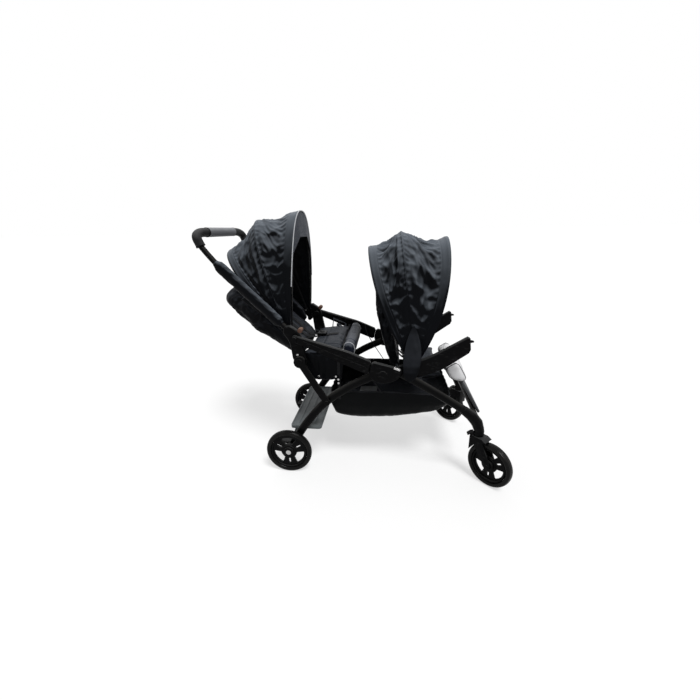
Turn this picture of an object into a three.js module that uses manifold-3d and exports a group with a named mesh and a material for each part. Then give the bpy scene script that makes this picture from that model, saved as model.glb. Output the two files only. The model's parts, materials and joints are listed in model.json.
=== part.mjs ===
// A tandem stroller: two seats, two folding canopies, a folding push handle with rear legs that
// follow it, swivelling front wheels, a basket and a rear platform that a child can stand on.
// Millimetres. +X is the front, +Y the left side, +Z up. The origin is on the floor, under the middle.
import * as THREE from 'three'
import { mergeVertices } from 'three/addons/utils/BufferGeometryUtils.js'
import Module from 'manifold-3d'

const wasm = await Module()
wasm.setup()

// Overall reach: every place in a side view is a share of these two.
const halfLength = 625
const height = 1100

// Side layers, measured from the middle plane outwards.
const railCentre = 240
const railWidth = 18
const layerGap = 1
const limbWidth = 22
const strutWidth = 13
const seatGap = 0.3
const overrun = 2

// Tubes, pins and edges.
const tubeRadius = 11
const pinRadius = 6
const pinClearance = 0.4
const pinHeadRadius = 12
const pinHeadThickness = 4
const knobRadius = 14
const knobThickness = 9
const capThickness = 3
const edgeBevel = 3
const gripRadius = 17.5
const gripCornerRadius = 70

// Wheels. Their radii are shares of the height, so that every wheel stands on the floor.
const rearWheelShare = 0.0918
const frontWheelShare = 0.08636
const rearWheelRadius = rearWheelShare * height
const frontWheelRadius = frontWheelShare * height
const rearWheelWidth = 27
const frontWheelWidth = 34
const tyreDepth = 21
const rimDepth = 7
const hubRadius = 23
const hubOverhang = 2
const webThickness = 12
const spokeSlotWidth = 9
const axleRadius = 7
const boreClearance = 0.4

// Casters.
const casterTrailShare = 0.65266
const casterTrail = casterTrailShare * frontWheelRadius
const casterSpread = 220
const casterYaw = -45
const forkPlate = 5
const forkClearance = 2.5
const stemRadius = 8
const stemHousingRadius = 21
const stemHousingDepth = 26
const lockWidth = 20
const lockThickness = 5
const lockLength = 26

// Legs.
const legThickness = 36
const legEyeRadius = 22
const frontLegThickness = 33
const frontLegWidth = 20
const strutRadius = 13
const strutDiscRadius = 28
const legEndRadius = 15

// Rear platform and brakes.
const platformThickness = 14
const platformRim = 4
const platformRimWidth = 7
const platformSideGap = 2
const saddleWidth = 26
const saddleRadius = 14
const saddleY = 120
const pedalY = 176
const pedalWidth = 44
const pedalReach = 62
const pedalThickness = 8
const pedalEyeRadius = 13

// Soft parts.
const rearCanopySideGap = 10
const frontCanopySideGap = 8
const fabricThickness = 3
const bowRadius = 3.5
const bowStep = 9
const bowSides = 6
const hubThickness = 5
const canopyHubRadius = 20
const canopyPinRadius = 4
const canopyStartRadius = 44
const visorThickness = 4
const visorDrop = 88
const seatSideGap = 30
const rearBackSideGap = 10
const seatWingThickness = 9
const seatCrown = 12
const basketSideGap = 8
const basketTaper = 14
const basketWall = 4
const boardThickness = 4
const boardHalfWidth = 120
const strapWidth = 12
const strapThickness = 2.5
const cordRadius = 2
const footrestThickness = 12
const footrestHalfWidth = 152
const crossTubeRadius = 10
const buttonRadius = 6
const sleeveThickness = 3

// Facets.
const roundSides = 12
const basketSides = 20
const tubeSides = 8
const wheelSides = 24

const railInner = railCentre - railWidth / 2
const railOuter = railCentre + railWidth / 2
const limbOuter = railInner - layerGap
const limbInner = limbOuter - limbWidth
const limbCentre = (limbOuter + limbInner) / 2
const strutOuter = railInner + strutWidth
const bowInset = fabricThickness + seatGap + bowRadius

// Everything that lies between the limbs keeps its own gap to them.
const platformHalfWidth = limbInner - platformSideGap
const seatHalfWidth = limbInner - seatSideGap
const basketHalfWidth = limbInner - basketSideGap
const basketFloorHalfWidth = basketHalfWidth - basketTaper
const rearCanopyHalfWidth = limbInner - rearCanopySideGap
const frontCanopyHalfWidth = limbInner - frontCanopySideGap
const canopyPinEnd = (halfWidth) => halfWidth - bowInset - 2 * bowStep - bowRadius - overrun
const rearBackHalfWidth = canopyPinEnd(rearCanopyHalfWidth) - rearBackSideGap

// Places in the side view, as shares of half the length and of the height.
const placeShares = {
  handlePivot: [-0.392, 0.5618],
  strutPivot: [-0.3712, 0.4718],
  strutFoot: [-0.2048, 0.3109],
  legPivot: [0.1648, 0.4318],
  rearAxle: [-0.488, rearWheelShare],
  stem: [0.8048, 0.1864],
  rearCanopyPivot: [-0.4416, 0.5455],
  frontCanopyPivot: [0.3664, 0.4473],
  rearBackPivot: [-0.4, 0.4818],
  frontBackPivot: [0.256, 0.4364],
  gripCorner: [-0.9712, 0.9291],
}
const placeOf = ([x, z]) => new THREE.Vector2(x * halfLength, z * height)
const place = Object.fromEntries(
  Object.entries(placeShares).map(([name, shares]) => [name, placeOf(shares)]),
)
const forkFlatZ = place.stem.y - seatGap

const outlineShares = {
  rail: [
    [-0.4, 0.5509], [-0.24, 0.5127], [-0.1312, 0.4818], [-0.0192, 0.4536], [0.0736, 0.4318],
    [0.0944, 0.4827], [-0.056, 0.5191], [-0.232, 0.5482], [-0.384, 0.5745],
  ],
  railGroove: [
    [-0.3392, 0.5564], [-0.256, 0.5364], [-0.096, 0.4982], [0.0576, 0.4618], [0.0608, 0.4691],
    [-0.064, 0.5018], [-0.24, 0.54], [-0.336, 0.5618],
  ],
  junction: [
    [0.16, 0.4736], [0.24, 0.4627], [0.2944, 0.4518], [0.2688, 0.4209], [0.224, 0.4055],
    [0.1648, 0.3973], [0.1056, 0.4073],
  ],
  hingeBlock: [
    [-0.44, 0.6127], [-0.4816, 0.5882], [-0.432, 0.5455], [-0.4176, 0.4718], [-0.3712, 0.4473],
    [-0.3264, 0.4718], [-0.3424, 0.5182], [-0.3616, 0.5818],
  ],
  frontArm: [
    [0.2336, 0.4255], [0.256, 0.46], [0.368, 0.4764], [0.4656, 0.5018], [0.5696, 0.5364],
    [0.6864, 0.5773], [0.6992, 0.52], [0.5408, 0.4536], [0.4192, 0.4236], [0.32, 0.4145],
  ],
  calfPad: [[0.5632, 0.4255], [0.6592, 0.4591], [0.736, 0.3755], [0.7136, 0.3664], [0.6144, 0.3773]],
  rearBack: [
    [-0.4192, 0.4618], [-0.5632, 0.5164], [-0.688, 0.5618], [-0.832, 0.6155], [-0.928, 0.6582],
    [-0.9504, 0.6864], [-0.9184, 0.7145], [-0.8608, 0.7327], [-0.8, 0.7073], [-0.672, 0.6418],
    [-0.536, 0.5818], [-0.4224, 0.5273], [-0.384, 0.5055], [-0.3696, 0.4818], [-0.3872, 0.4636],
  ],
  frontBack: [
    [0.2816, 0.42], [0.224, 0.5636], [0.192, 0.6545], [0.176, 0.7727], [0.1472, 0.7836],
    [0.1024, 0.7773], [0.1152, 0.6545], [0.1568, 0.5455], [0.224, 0.4091],
  ],
  rearBolster: [
    [-0.0992, 0.4745], [-0.1056, 0.5145], [-0.0832, 0.5345], [-0.0448, 0.5327], [-0.0192, 0.5091],
    [-0.0256, 0.4782], [-0.0512, 0.4673],
  ],
}
const armTipShares = [0.704, 0.5564]
const pathShares = {
  rearLeg: [
    [0.1648, 0.4318], [0.096, 0.4155], [-0.048, 0.3727], [-0.2192, 0.3018], [-0.344, 0.22],
    [-0.4192, 0.1564], [-0.488, 0.0918],
  ],
  frontLeg: [[0.2838, 0.4358], [0.3712, 0.4091], [0.52, 0.3591], [0.6816, 0.3009]],
  handleTube: [[-0.4611, 0.6007], [-0.64, 0.7], [-0.8272, 0.8055], [-0.8896, 0.8464], [-0.9392, 0.8827]],
  sleeve: [[-0.496, 0.62], [-0.688, 0.7273], [-0.848, 0.8182]],
  elbow: [[0.6832, 0.3], [0.7392, 0.2745], [0.7824, 0.2418], [0.8048, 0.2082]],
  basketFloor: [
    [-0.2176, 0.24], [-0.16, 0.22], [0.032, 0.2182], [0.2176, 0.2236], [0.4816, 0.2473],
    [0.6208, 0.2691],
  ],
  basketRim: [[-0.208, 0.32], [-0.0432, 0.3418], [0.2224, 0.3436], [0.48, 0.3382], [0.6272, 0.32]],
  rearSeat: [[-0.3488, 0.4964], [-0.288, 0.4964], [-0.208, 0.5018], [-0.1050, 0.5073]],
  frontSeat: [[0.2944, 0.4091], [0.384, 0.4055], [0.48, 0.4091], [0.5536, 0.4145]],
  footrest: [[0.6942, 0.3675], [0.7376, 0.3291], [0.8224, 0.2464]],
}

// Angles of the canopy bows about their pivots, from the front, in degrees, and their reach.
const rearCanopyBows = { rear: 130, middle: 108.25, front: 86.5 }
const frontCanopyBows = { rear: 113, middle: 96.9, front: 76.2 }
const bowTuckShare = 0.25
const rearCanopyReachShares = [
  0.411, 0.409, 0.409, 0.411, 0.429, 0.448, 0.442, 0.431, 0.436, 0.449, 0.4536,
]
const frontCanopyReachShares = [
  0.456, 0.451, 0.4455, 0.451, 0.4655, 0.477, 0.462, 0.4435, 0.4345, 0.4455, 0.466,
]
const rearCanopyBulgeShare = 0.1
const frontCanopyBulgeShare = 0.95

const v2 = (x, y) => new THREE.Vector2(x, y)
const v3 = (x, y, z) => new THREE.Vector3(x, y, z)
const sides = [['left', 1], ['right', -1]]
const radians = THREE.MathUtils.degToRad
const circleTurn = 2 * Math.PI

// Solids: a closed geometry goes in, joins and cuts are made, and a closed geometry comes out.
function bare(geometry) {
  const copy = geometry.clone()
  for (const name of Object.keys(copy.attributes)) if (name !== 'position') copy.deleteAttribute(name)
  return mergeVertices(copy)
}

function solidOf(geometry) {
  const merged = bare(geometry)
  return new wasm.Manifold(new wasm.Mesh({
    numProp: 3,
    vertProperties: new Float32Array(merged.attributes.position.array),
    triVerts: new Uint32Array(merged.index.array),
  }))
}

function geometryOf(solid) {
  const mesh = solid.getMesh()
  const geometry = new THREE.BufferGeometry()
  geometry.setAttribute('position', new THREE.BufferAttribute(new Float32Array(mesh.vertProperties), 3))
  geometry.setIndex(new THREE.BufferAttribute(new Uint32Array(mesh.triVerts), 1))
  geometry.computeVertexNormals()
  return geometry
}

const join = (first, ...others) => others.reduce((sum, part) => sum.add(part), first)
const cut = (first, ...others) => others.reduce((rest, part) => rest.subtract(part), first)

// A closed geometry from faces that share their points, turned so that the faces point out.
function closedGeometry(points, faces) {
  let volume = 0
  for (const [a, b, c] of faces) volume += points[a].dot(points[b].clone().cross(points[c]))
  const index = volume < 0 ? faces.map(([a, b, c]) => [a, c, b]) : faces
  const geometry = new THREE.BufferGeometry().setFromPoints(points)
  geometry.setIndex(index.flat())
  return geometry
}

function loft(rings) {
  const count = rings[0].length
  const points = rings.flat()
  const faces = []
  for (let r = 0; r + 1 < rings.length; r++) {
    for (let i = 0; i < count; i++) {
      const a = r * count + i
      const b = r * count + ((i + 1) % count)
      faces.push([a, b, b + count], [a, b + count, a + count])
    }
  }
  for (const [ring, start, flip] of [[rings[0], 0, true], [rings.at(-1), points.length - count, false]]) {
    const middle = points.length
    points.push(ring.reduce((sum, p) => sum.add(p), v3(0, 0, 0)).divideScalar(count))
    for (let i = 0; i < count; i++) {
      const a = start + i
      const b = start + ((i + 1) % count)
      faces.push(flip ? [middle, b, a] : [middle, a, b])
    }
  }
  return solidOf(closedGeometry(points, faces))
}

// A closed skin between an outer and an inner grid of points of the same counts.
function skin(outer, inner) {
  const rows = outer.length
  const columns = outer[0].length
  const points = [...outer.flat(), ...inner.flat()]
  const shift = rows * columns
  const at = (r, c) => r * columns + c
  const faces = []
  const quad = (a, b, c, d) => faces.push([a, b, c], [a, c, d])
  for (let r = 0; r + 1 < rows; r++) {
    for (let c = 0; c + 1 < columns; c++) {
      quad(at(r, c), at(r, c + 1), at(r + 1, c + 1), at(r + 1, c))
      quad(shift + at(r, c), shift + at(r + 1, c), shift + at(r + 1, c + 1), shift + at(r, c + 1))
    }
    quad(at(r, 0), at(r + 1, 0), shift + at(r + 1, 0), shift + at(r, 0))
    const last = columns - 1
    quad(at(r, last), shift + at(r, last), shift + at(r + 1, last), at(r + 1, last))
  }
  for (let c = 0; c + 1 < columns; c++) {
    quad(at(0, c), shift + at(0, c), shift + at(0, c + 1), at(0, c + 1))
    const last = rows - 1
    quad(at(last, c), at(last, c + 1), shift + at(last, c + 1), shift + at(last, c))
  }
  return solidOf(closedGeometry(points, faces))
}

const grid = (rows, columns, point) =>
  Array.from({ length: rows + 1 }, (_, r) =>
    Array.from({ length: columns + 1 }, (_, c) => point(r / rows, c / columns)))

// A side-view outline becomes a plate between two distances from the middle plane.
function plate(shape, low, high, bevel = 0, segments = bevel > 0 ? 1 : 3) {
  const geometry = new THREE.ExtrudeGeometry(shape, {
    depth: high - low - 2 * bevel,
    curveSegments: segments,
    bevelEnabled: bevel > 0,
    bevelThickness: bevel,
    bevelSize: bevel,
    bevelOffset: -bevel,
    bevelSegments: 1,
  })
  geometry.rotateX(Math.PI / 2)
  geometry.translate(0, high - bevel, 0)
  return solidOf(geometry)
}

const onSide = (side, low, high) => (side > 0 ? [low, high] : [-high, -low])

function roundedShape(corners, radius) {
  const shape = new THREE.Shape()
  corners.forEach((corner, i) => {
    const before = corners.at(i - 1)
    const after = corners[(i + 1) % corners.length]
    const reachIn = Math.min(radius, corner.distanceTo(before) / 2)
    const reachOut = Math.min(radius, corner.distanceTo(after) / 2)
    const enter = corner.clone().lerp(before, reachIn / corner.distanceTo(before))
    const leave = corner.clone().lerp(after, reachOut / corner.distanceTo(after))
    if (i === 0) shape.moveTo(enter.x, enter.y)
    else shape.lineTo(enter.x, enter.y)
    shape.quadraticCurveTo(corner.x, corner.y, leave.x, leave.y)
  })
  shape.closePath()
  return shape
}

const outline = (name) => outlineShares[name].map(placeOf)

function linkShape(a, b, radiusA, radiusB) {
  const along = Math.atan2(b.y - a.y, b.x - a.x)
  const spread = Math.acos((radiusA - radiusB) / a.distanceTo(b))
  const shape = new THREE.Shape()
  shape.absarc(a.x, a.y, radiusA, along + spread, along + circleTurn - spread, false)
  shape.absarc(b.x, b.y, radiusB, along - spread, along + spread, false)
  shape.closePath()
  return shape
}

// A round rod across the stroller, between two distances along Y.
function rod(centre, radius, low, high, count = roundSides) {
  const geometry = new THREE.CylinderGeometry(radius, radius, high - low, count)
  geometry.translate(centre.x, (low + high) / 2, 0)
  geometry.translate(0, 0, centre.y)
  return solidOf(geometry)
}

function uprightRod(x, y, radius, low, high, count = roundSides) {
  const geometry = new THREE.CylinderGeometry(radius, radius, high - low, count)
  geometry.rotateX(Math.PI / 2)
  geometry.translate(x, y, (low + high) / 2)
  return solidOf(geometry)
}

// Points round a circle, which a shape or a ring goes through.
const circlePoints = (radius, count) => Array.from({ length: count }, (_, i) => {
  const turn = (circleTurn * i) / count
  return v2(radius * Math.cos(turn), radius * Math.sin(turn))
})

function ovalShape(halfWidth, halfHeight, count = tubeSides) {
  const points = Array.from({ length: count }, (_, i) => {
    const turn = (circleTurn * (i + 0.5)) / count
    return v2(halfWidth * Math.cos(turn), halfHeight * Math.sin(turn))
  })
  return new THREE.Shape(points)
}

// An oval tube that follows a curve; in a side-view curve its width is along Y.
function tube(points, halfWidth, halfHeight, steps, count = tubeSides) {
  const curve = new THREE.CatmullRomCurve3(points, false, 'centripetal')
  const geometry = new THREE.ExtrudeGeometry(ovalShape(halfWidth, halfHeight, count), {
    steps,
    extrudePath: curve,
    bevelEnabled: false,
  })
  return solidOf(geometry)
}

const sidePath = (name, y) => pathShares[name].map(placeOf).map((p) => v3(p.x, y, p.y))

// Frame
function rail(side) {
  const [low, high] = onSide(side, railInner, railOuter)
  const beam = plate(roundedShape(outline('rail'), edgeBevel * 3), low, high, edgeBevel)
  const [grooveLow, grooveHigh] = onSide(side, railOuter - capThickness / 2, railOuter + overrun)
  const groove = plate(roundedShape(outline('railGroove'), edgeBevel), grooveLow, grooveHigh)
  const end = rod(place.handlePivot, knobRadius, low, high)
  const [stubLow, stubHigh] = onSide(side, limbInner - seatGap - pinHeadThickness, railInner + overrun)
  const stub = rod(place.handlePivot, pinRadius, stubLow, stubHigh)
  const [headLow, headHigh] = onSide(side, limbInner - seatGap - pinHeadThickness, limbInner - seatGap)
  const head = rod(place.handlePivot, pinHeadRadius, headLow, headHigh)
  const [knobLow, knobHigh] = onSide(side, railOuter - overrun, railOuter + knobThickness)
  const knob = rod(place.handlePivot, knobRadius - capThickness, knobLow, knobHigh)
  const bracketHigh = limbInner - seatGap - pinHeadThickness + overrun / 2
  const [bracketLow, bracketTop] = onSide(side, bracketHigh - hubThickness, bracketHigh)
  const bracketShape = linkShape(place.handlePivot, place.rearCanopyPivot, pinHeadRadius, canopyHubRadius / 2)
  const bracket = plate(bracketShape, bracketLow, bracketTop)
  const [pinLow, pinHigh] = onSide(side, canopyPinEnd(rearCanopyHalfWidth), bracketHigh - overrun)
  const canopyPin = rod(place.rearCanopyPivot, canopyPinRadius, pinLow, pinHigh)
  return join(cut(beam, groove), end, stub, head, knob, bracket, canopyPin)
}

function junction(side) {
  const [low, high] = onSide(side, railInner, railOuter + overrun)
  const seam = outline('rail').slice(4, 6).map((p) => v2(p.x + 2 * seatGap, p.y))
  const shape = roundedShape([seam[1], ...outline('junction'), seam[0]], 3 * edgeBevel)
  const shell = plate(shape, low, high, edgeBevel)
  const [stubLow, stubHigh] = onSide(side, limbInner - seatGap - pinHeadThickness, railInner + overrun)
  const stub = rod(place.legPivot, pinRadius, stubLow, stubHigh)
  const [headLow, headHigh] = onSide(side, limbInner - seatGap - pinHeadThickness, limbInner - seatGap)
  const head = rod(place.legPivot, pinHeadRadius, headLow, headHigh)
  const capLow = railOuter
  const [coverLow, coverHigh] = onSide(side, capLow, capLow + overrun + capThickness)
  const cover = rod(place.legPivot, legEyeRadius - capThickness, coverLow, coverHigh)
  return join(shell, stub, head, cover)
}

function frontLeg(side) {
  return tube(sidePath('frontLeg', side * railCentre), frontLegWidth / 2, frontLegThickness / 2, 9)
}

// The elbow turns the slanting front leg into the upright housing that the caster stem turns in.
const elbowShares = [
  { thick: 0.93, wide: 0.6, spread: 0 },
  { thick: 1.1, wide: 0.75, spread: 0.25 },
  { thick: 1.14, wide: 0.9, spread: 0.75 },
  { thick: 1, wide: 1, spread: 1 },
]
function elbow(side) {
  const leg = new THREE.CatmullRomCurve3(sidePath('frontLeg', 0), false, 'centripetal')
  const spine = pathShares.elbow.map(placeOf)
  const legWay = leg.getTangent(1)
  spine[0] = v2(leg.getPoint(1).x + legWay.x * seatGap, leg.getPoint(1).z + legWay.z * seatGap)
  const rings = spine.map((p, i) => {
    const before = spine[Math.max(i - 1, 0)]
    const after = spine[Math.min(i + 1, spine.length - 1)]
    const along = i === 0 ? v2(legWay.x, legWay.z) : after.clone().sub(before).normalize()
    const across = v2(-along.y, along.x)
    const size = elbowShares[i]
    const y = side * THREE.MathUtils.lerp(railCentre, casterSpread, size.spread)
    return Array.from({ length: tubeSides + 2 }, (_, k) => {
      const turn = (circleTurn * k) / (tubeSides + 2)
      const out = size.thick * stemHousingRadius * Math.cos(turn)
      const wide = size.wide * stemHousingRadius * Math.sin(turn)
      return v3(p.x + across.x * out, y + side * wide, p.y + across.y * out)
    })
  })
  const body = loft(rings)
  const bottom = place.stem.y
  const top = bottom + stemHousingDepth
  const housing = uprightRod(place.stem.x, side * casterSpread, stemHousingRadius, bottom, top)
  const boreRadius = stemRadius + boreClearance
  const boreTop = top - capThickness
  const bore = uprightRod(place.stem.x, side * casterSpread, boreRadius, bottom - overrun, boreTop)
  const wide = 3 * stemHousingRadius
  const below = uprightRod(place.stem.x, side * casterSpread, wide, bottom - wide, bottom)
  return cut(join(body, housing), bore, below)
}

// The cross tube joins the elbows just under the lower half of the footrest.
const crossTubeShare = 0.85
const elbowFlatShare = 0.99
function crossTube() {
  const [, knee, foot] = pathShares.footrest.map(placeOf)
  const along = foot.clone().sub(knee).normalize()
  const under = v2(along.y, -along.x).multiplyScalar(crossTubeRadius + footrestThickness / 2 + seatGap)
  const { wide, spread } = elbowShares[2]
  const elbowCentre = THREE.MathUtils.lerp(railCentre, casterSpread, spread)
  const half = elbowCentre - wide * stemHousingRadius * elbowFlatShare
  return rod(knee.clone().lerp(foot, crossTubeShare).add(under), crossTubeRadius, -half, half)
}

function footrest() {
  const line = pathShares.footrest.map(placeOf)
  const normal = line[2].clone().sub(line[0]).normalize()
  const out = v2(normal.y, -normal.x).multiplyScalar(-footrestThickness / 2)
  const face = line.map((p) => p.clone().add(out))
  const back = line.map((p) => p.clone().sub(out)).reverse()
  return plate(
    roundedShape([...face, ...back], footrestThickness / 3), -footrestHalfWidth, footrestHalfWidth, edgeBevel,
  )
}

function frontArm(side) {
  const [low, high] = onSide(side, limbInner + layerGap, railInner - seatGap)
  const body = plate(roundedShape(outline('frontArm'), edgeBevel * 3), low, high, edgeBevel)
  const [pinLow, pinHigh] = onSide(side, canopyPinEnd(frontCanopyHalfWidth), limbInner + layerGap + overrun)
  const canopyPin = rod(place.frontCanopyPivot, canopyPinRadius, pinLow, pinHigh)
  const tip = placeOf(armTipShares)
  const catchHalf = limbWidth / 4
  const [catchLow, catchHigh] = onSide(side, limbCentre - catchHalf, limbCentre + catchHalf)
  const catchEnds = [v2(tip.x - 2 * buttonRadius, tip.y), v2(tip.x + buttonRadius / 2, tip.y)]
  const catchShape = linkShape(...catchEnds, buttonRadius, buttonRadius / 2)
  return join(body, canopyPin, plate(catchShape, catchLow, catchHigh))
}

// Handle
function hingeBlock(side) {
  const [low, high] = onSide(side, limbInner, limbOuter)
  const shell = plate(roundedShape(outline('hingeBlock'), edgeBevel * 4), low, high, edgeBevel)
  const disc = rod(place.strutPivot, strutDiscRadius, low, high, roundSides)
  const [cutLow, cutHigh] = onSide(side, limbInner - overrun, limbOuter + overrun)
  const boreRadius = pinRadius + pinClearance
  const bores = [place.handlePivot, place.strutPivot].map((p) => rod(p, boreRadius, cutLow, cutHigh))
  return cut(join(shell, disc), ...bores)
}

function handleTube(side) {
  return tube(sidePath('handleTube', side * limbCentre), tubeRadius, tubeRadius, 10)
}

// The padded grip runs round both corners of the push bar.
const gripTurnShares = [0.3, 0.65, 1]
function handleGrip() {
  const handle = new THREE.CatmullRomCurve3(sidePath('handleTube', 0), false, 'centripetal')
  const [end, way] = [handle.getPoint(1), handle.getTangent(1)]
  const first = v2(end.x + way.x * 2 * seatGap, end.z + way.z * 2 * seatGap)
  const second = v2(first.x + way.x * gripRadius, first.y + way.z * gripRadius)
  const corner = place.gripCorner
  const along = corner.clone().sub(second).normalize()
  const bend = corner.clone().addScaledVector(along, -gripCornerRadius / 4)
  const path = []
  for (const side of [1, -1]) {
    const half = [first, second, bend].map((p) => v3(p.x, side * limbCentre, p.y))
    for (const share of gripTurnShares) {
      const turn = (share * Math.PI) / 2
      const inward = gripCornerRadius * (1 - Math.cos(turn))
      const rise = (corner.distanceTo(bend)) * Math.sin(turn)
      half.push(v3(bend.x + along.x * rise, side * (limbCentre - inward), bend.y + along.y * rise))
    }
    path.push(...(side > 0 ? half : half.reverse()))
  }
  return tube(path, gripRadius, gripRadius, 20)
}

// Struts and rear legs
function strut(side) {
  const [low, high] = onSide(side, railInner, strutOuter)
  const bar = plate(linkShape(place.strutPivot, place.strutFoot, strutRadius, strutRadius), low, high)
  const disc = rod(place.strutPivot, strutDiscRadius - capThickness, low, high, roundSides)
  const [stubLow, stubHigh] = onSide(side, limbInner - seatGap - pinHeadThickness, railInner + overrun)
  const stub = rod(place.strutPivot, pinRadius, stubLow, stubHigh)
  const [headLow, headHigh] = onSide(side, limbInner - seatGap - pinHeadThickness, limbInner - seatGap)
  const head = rod(place.strutPivot, pinHeadRadius, headLow, headHigh)
  const [capLow, capHigh] = onSide(side, strutOuter - overrun, strutOuter + capThickness)
  const cap = rod(place.strutPivot, strutDiscRadius / 2, capLow, capHigh)
  const foot = rod(place.strutFoot, pinRadius + capThickness, capLow, capHigh)
  return join(bar, disc, stub, head, cap, foot)
}

function rearLeg(side) {
  const [low, high] = onSide(side, limbInner, limbOuter)
  const limb = tube(sidePath('rearLeg', side * limbCentre), limbWidth / 2, legThickness / 2, 9)
  const eye = rod(place.legPivot, legEyeRadius, low, high)
  const foot = rod(place.rearAxle, legEndRadius, low, high)
  const [bossLow, bossHigh] = onSide(side, limbInner, railInner - seatGap)
  const boss = rod(place.strutFoot, pinHeadRadius, bossLow, bossHigh)
  const [cutLow, cutHigh] = onSide(side, limbInner - overrun, limbOuter + overrun)
  return cut(
    join(limb, eye, foot, boss),
    rod(place.legPivot, pinRadius + pinClearance, cutLow, cutHigh),
    rod(place.rearAxle, axleRadius + seatGap, cutLow, cutHigh),
  )
}

function rearAxle() {
  const half = limbOuter + layerGap + rearWheelWidth + 2 * hubOverhang
  return rod(place.rearAxle, axleRadius, -half, half)
}

// The standing platform hangs between the rear legs and rests on the axle on two saddles.
const platformShares = { rear: [-0.4832, 0.1864], front: [-0.264, 0.1864] }
const platformRibShares = [0.25, 0.5, 0.75]
function platform() {
  const rear = placeOf(platformShares.rear)
  const front = placeOf(platformShares.front)
  const deck = new THREE.Shape()
  const half = platformHalfWidth
  const corner = platformRimWidth * 2
  const frontHalf = half - corner
  deck.moveTo(rear.x + corner, -half)
  deck.lineTo(front.x - corner, -half)
  deck.quadraticCurveTo(front.x, -half, front.x, -frontHalf)
  deck.lineTo(front.x, frontHalf)
  deck.quadraticCurveTo(front.x, half, front.x - corner, half)
  deck.lineTo(rear.x + corner, half)
  deck.quadraticCurveTo(rear.x, half, rear.x, frontHalf)
  deck.lineTo(rear.x, -frontHalf)
  deck.quadraticCurveTo(rear.x, -half, rear.x + corner, -half)
  const slab = new THREE.ExtrudeGeometry(deck, {
    depth: platformThickness, curveSegments: 3, bevelEnabled: false,
  })
  slab.translate(0, 0, rear.y - platformThickness)
  const inset = (platformHalfWidth - platformRimWidth) / platformHalfWidth
  const well = new THREE.ExtrudeGeometry(deck, { depth: platformRim, curveSegments: 3, bevelEnabled: false })
  const middle = (rear.x + front.x) / 2
  const lengthInset = 1 - (2 * platformRimWidth) / (front.x - rear.x)
  well.translate(-middle, 0, rear.y - platformRim / 2)
  well.scale(lengthInset, inset, 1)
  well.translate(middle, 0, 0)
  const saddles = [-1, 1].map((side) => {
    const y = side * saddleY
    const axle = place.rearAxle
    const top = v2(rear.x + saddleRadius * 2, rear.y - platformRim - saddleRadius)
    return plate(linkShape(top, axle, saddleRadius, saddleRadius), y - saddleWidth / 2, y + saddleWidth / 2)
  })
  const axleCut = rod(place.rearAxle, axleRadius + seatGap, -half, half)
  const ribs = platformRibShares.map((share) => {
    const x = THREE.MathUtils.lerp(rear.x, front.x, share)
    const rib = new THREE.BoxGeometry(platformRimWidth / 2, 2 * frontHalf - 2 * corner, platformRim)
    rib.translate(x, 0, rear.y - platformRim / 2)
    return solidOf(rib)
  })
  return join(cut(join(solidOf(slab), ...saddles), solidOf(well), axleCut), ...ribs)
}

function brakePedal(side) {
  const axle = place.rearAxle
  const y = side * pedalY
  const low = y - pedalWidth / 2
  const high = y + pedalWidth / 2
  const eye = rod(axle, pedalEyeRadius, low, high)
  const bore = rod(axle, axleRadius + boreClearance, low - overrun, high + overrun)
  const toe = v2(axle.x - pedalReach, axle.y + pedalEyeRadius)
  const heel = v2(axle.x - pedalEyeRadius / 2, axle.y + pedalThickness / 2)
  const tread = plate(linkShape(heel, toe, pedalThickness / 2, pedalThickness / 2), low, high)
  return cut(join(eye, tread), bore)
}

// Wheels, about their own axle along Y. A tyre's section goes out from the rim to the tread.
const tyreShares = [
  { out: 0, wide: 0.72 }, { out: 0.3, wide: 1 }, { out: 0.7, wide: 0.92 }, { out: 1, wide: 0.35 },
]
function tyre(radius, width) {
  const half = width / 2
  const flank = (side) => tyreShares.map(({ out, wide }) =>
    v2(radius - tyreDepth * (1 - out), side * half * wide))
  const section = [...flank(-1), ...flank(1).reverse()]
  return solidOf(new THREE.LatheGeometry([...section, section[0].clone()], wheelSides))
}

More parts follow.
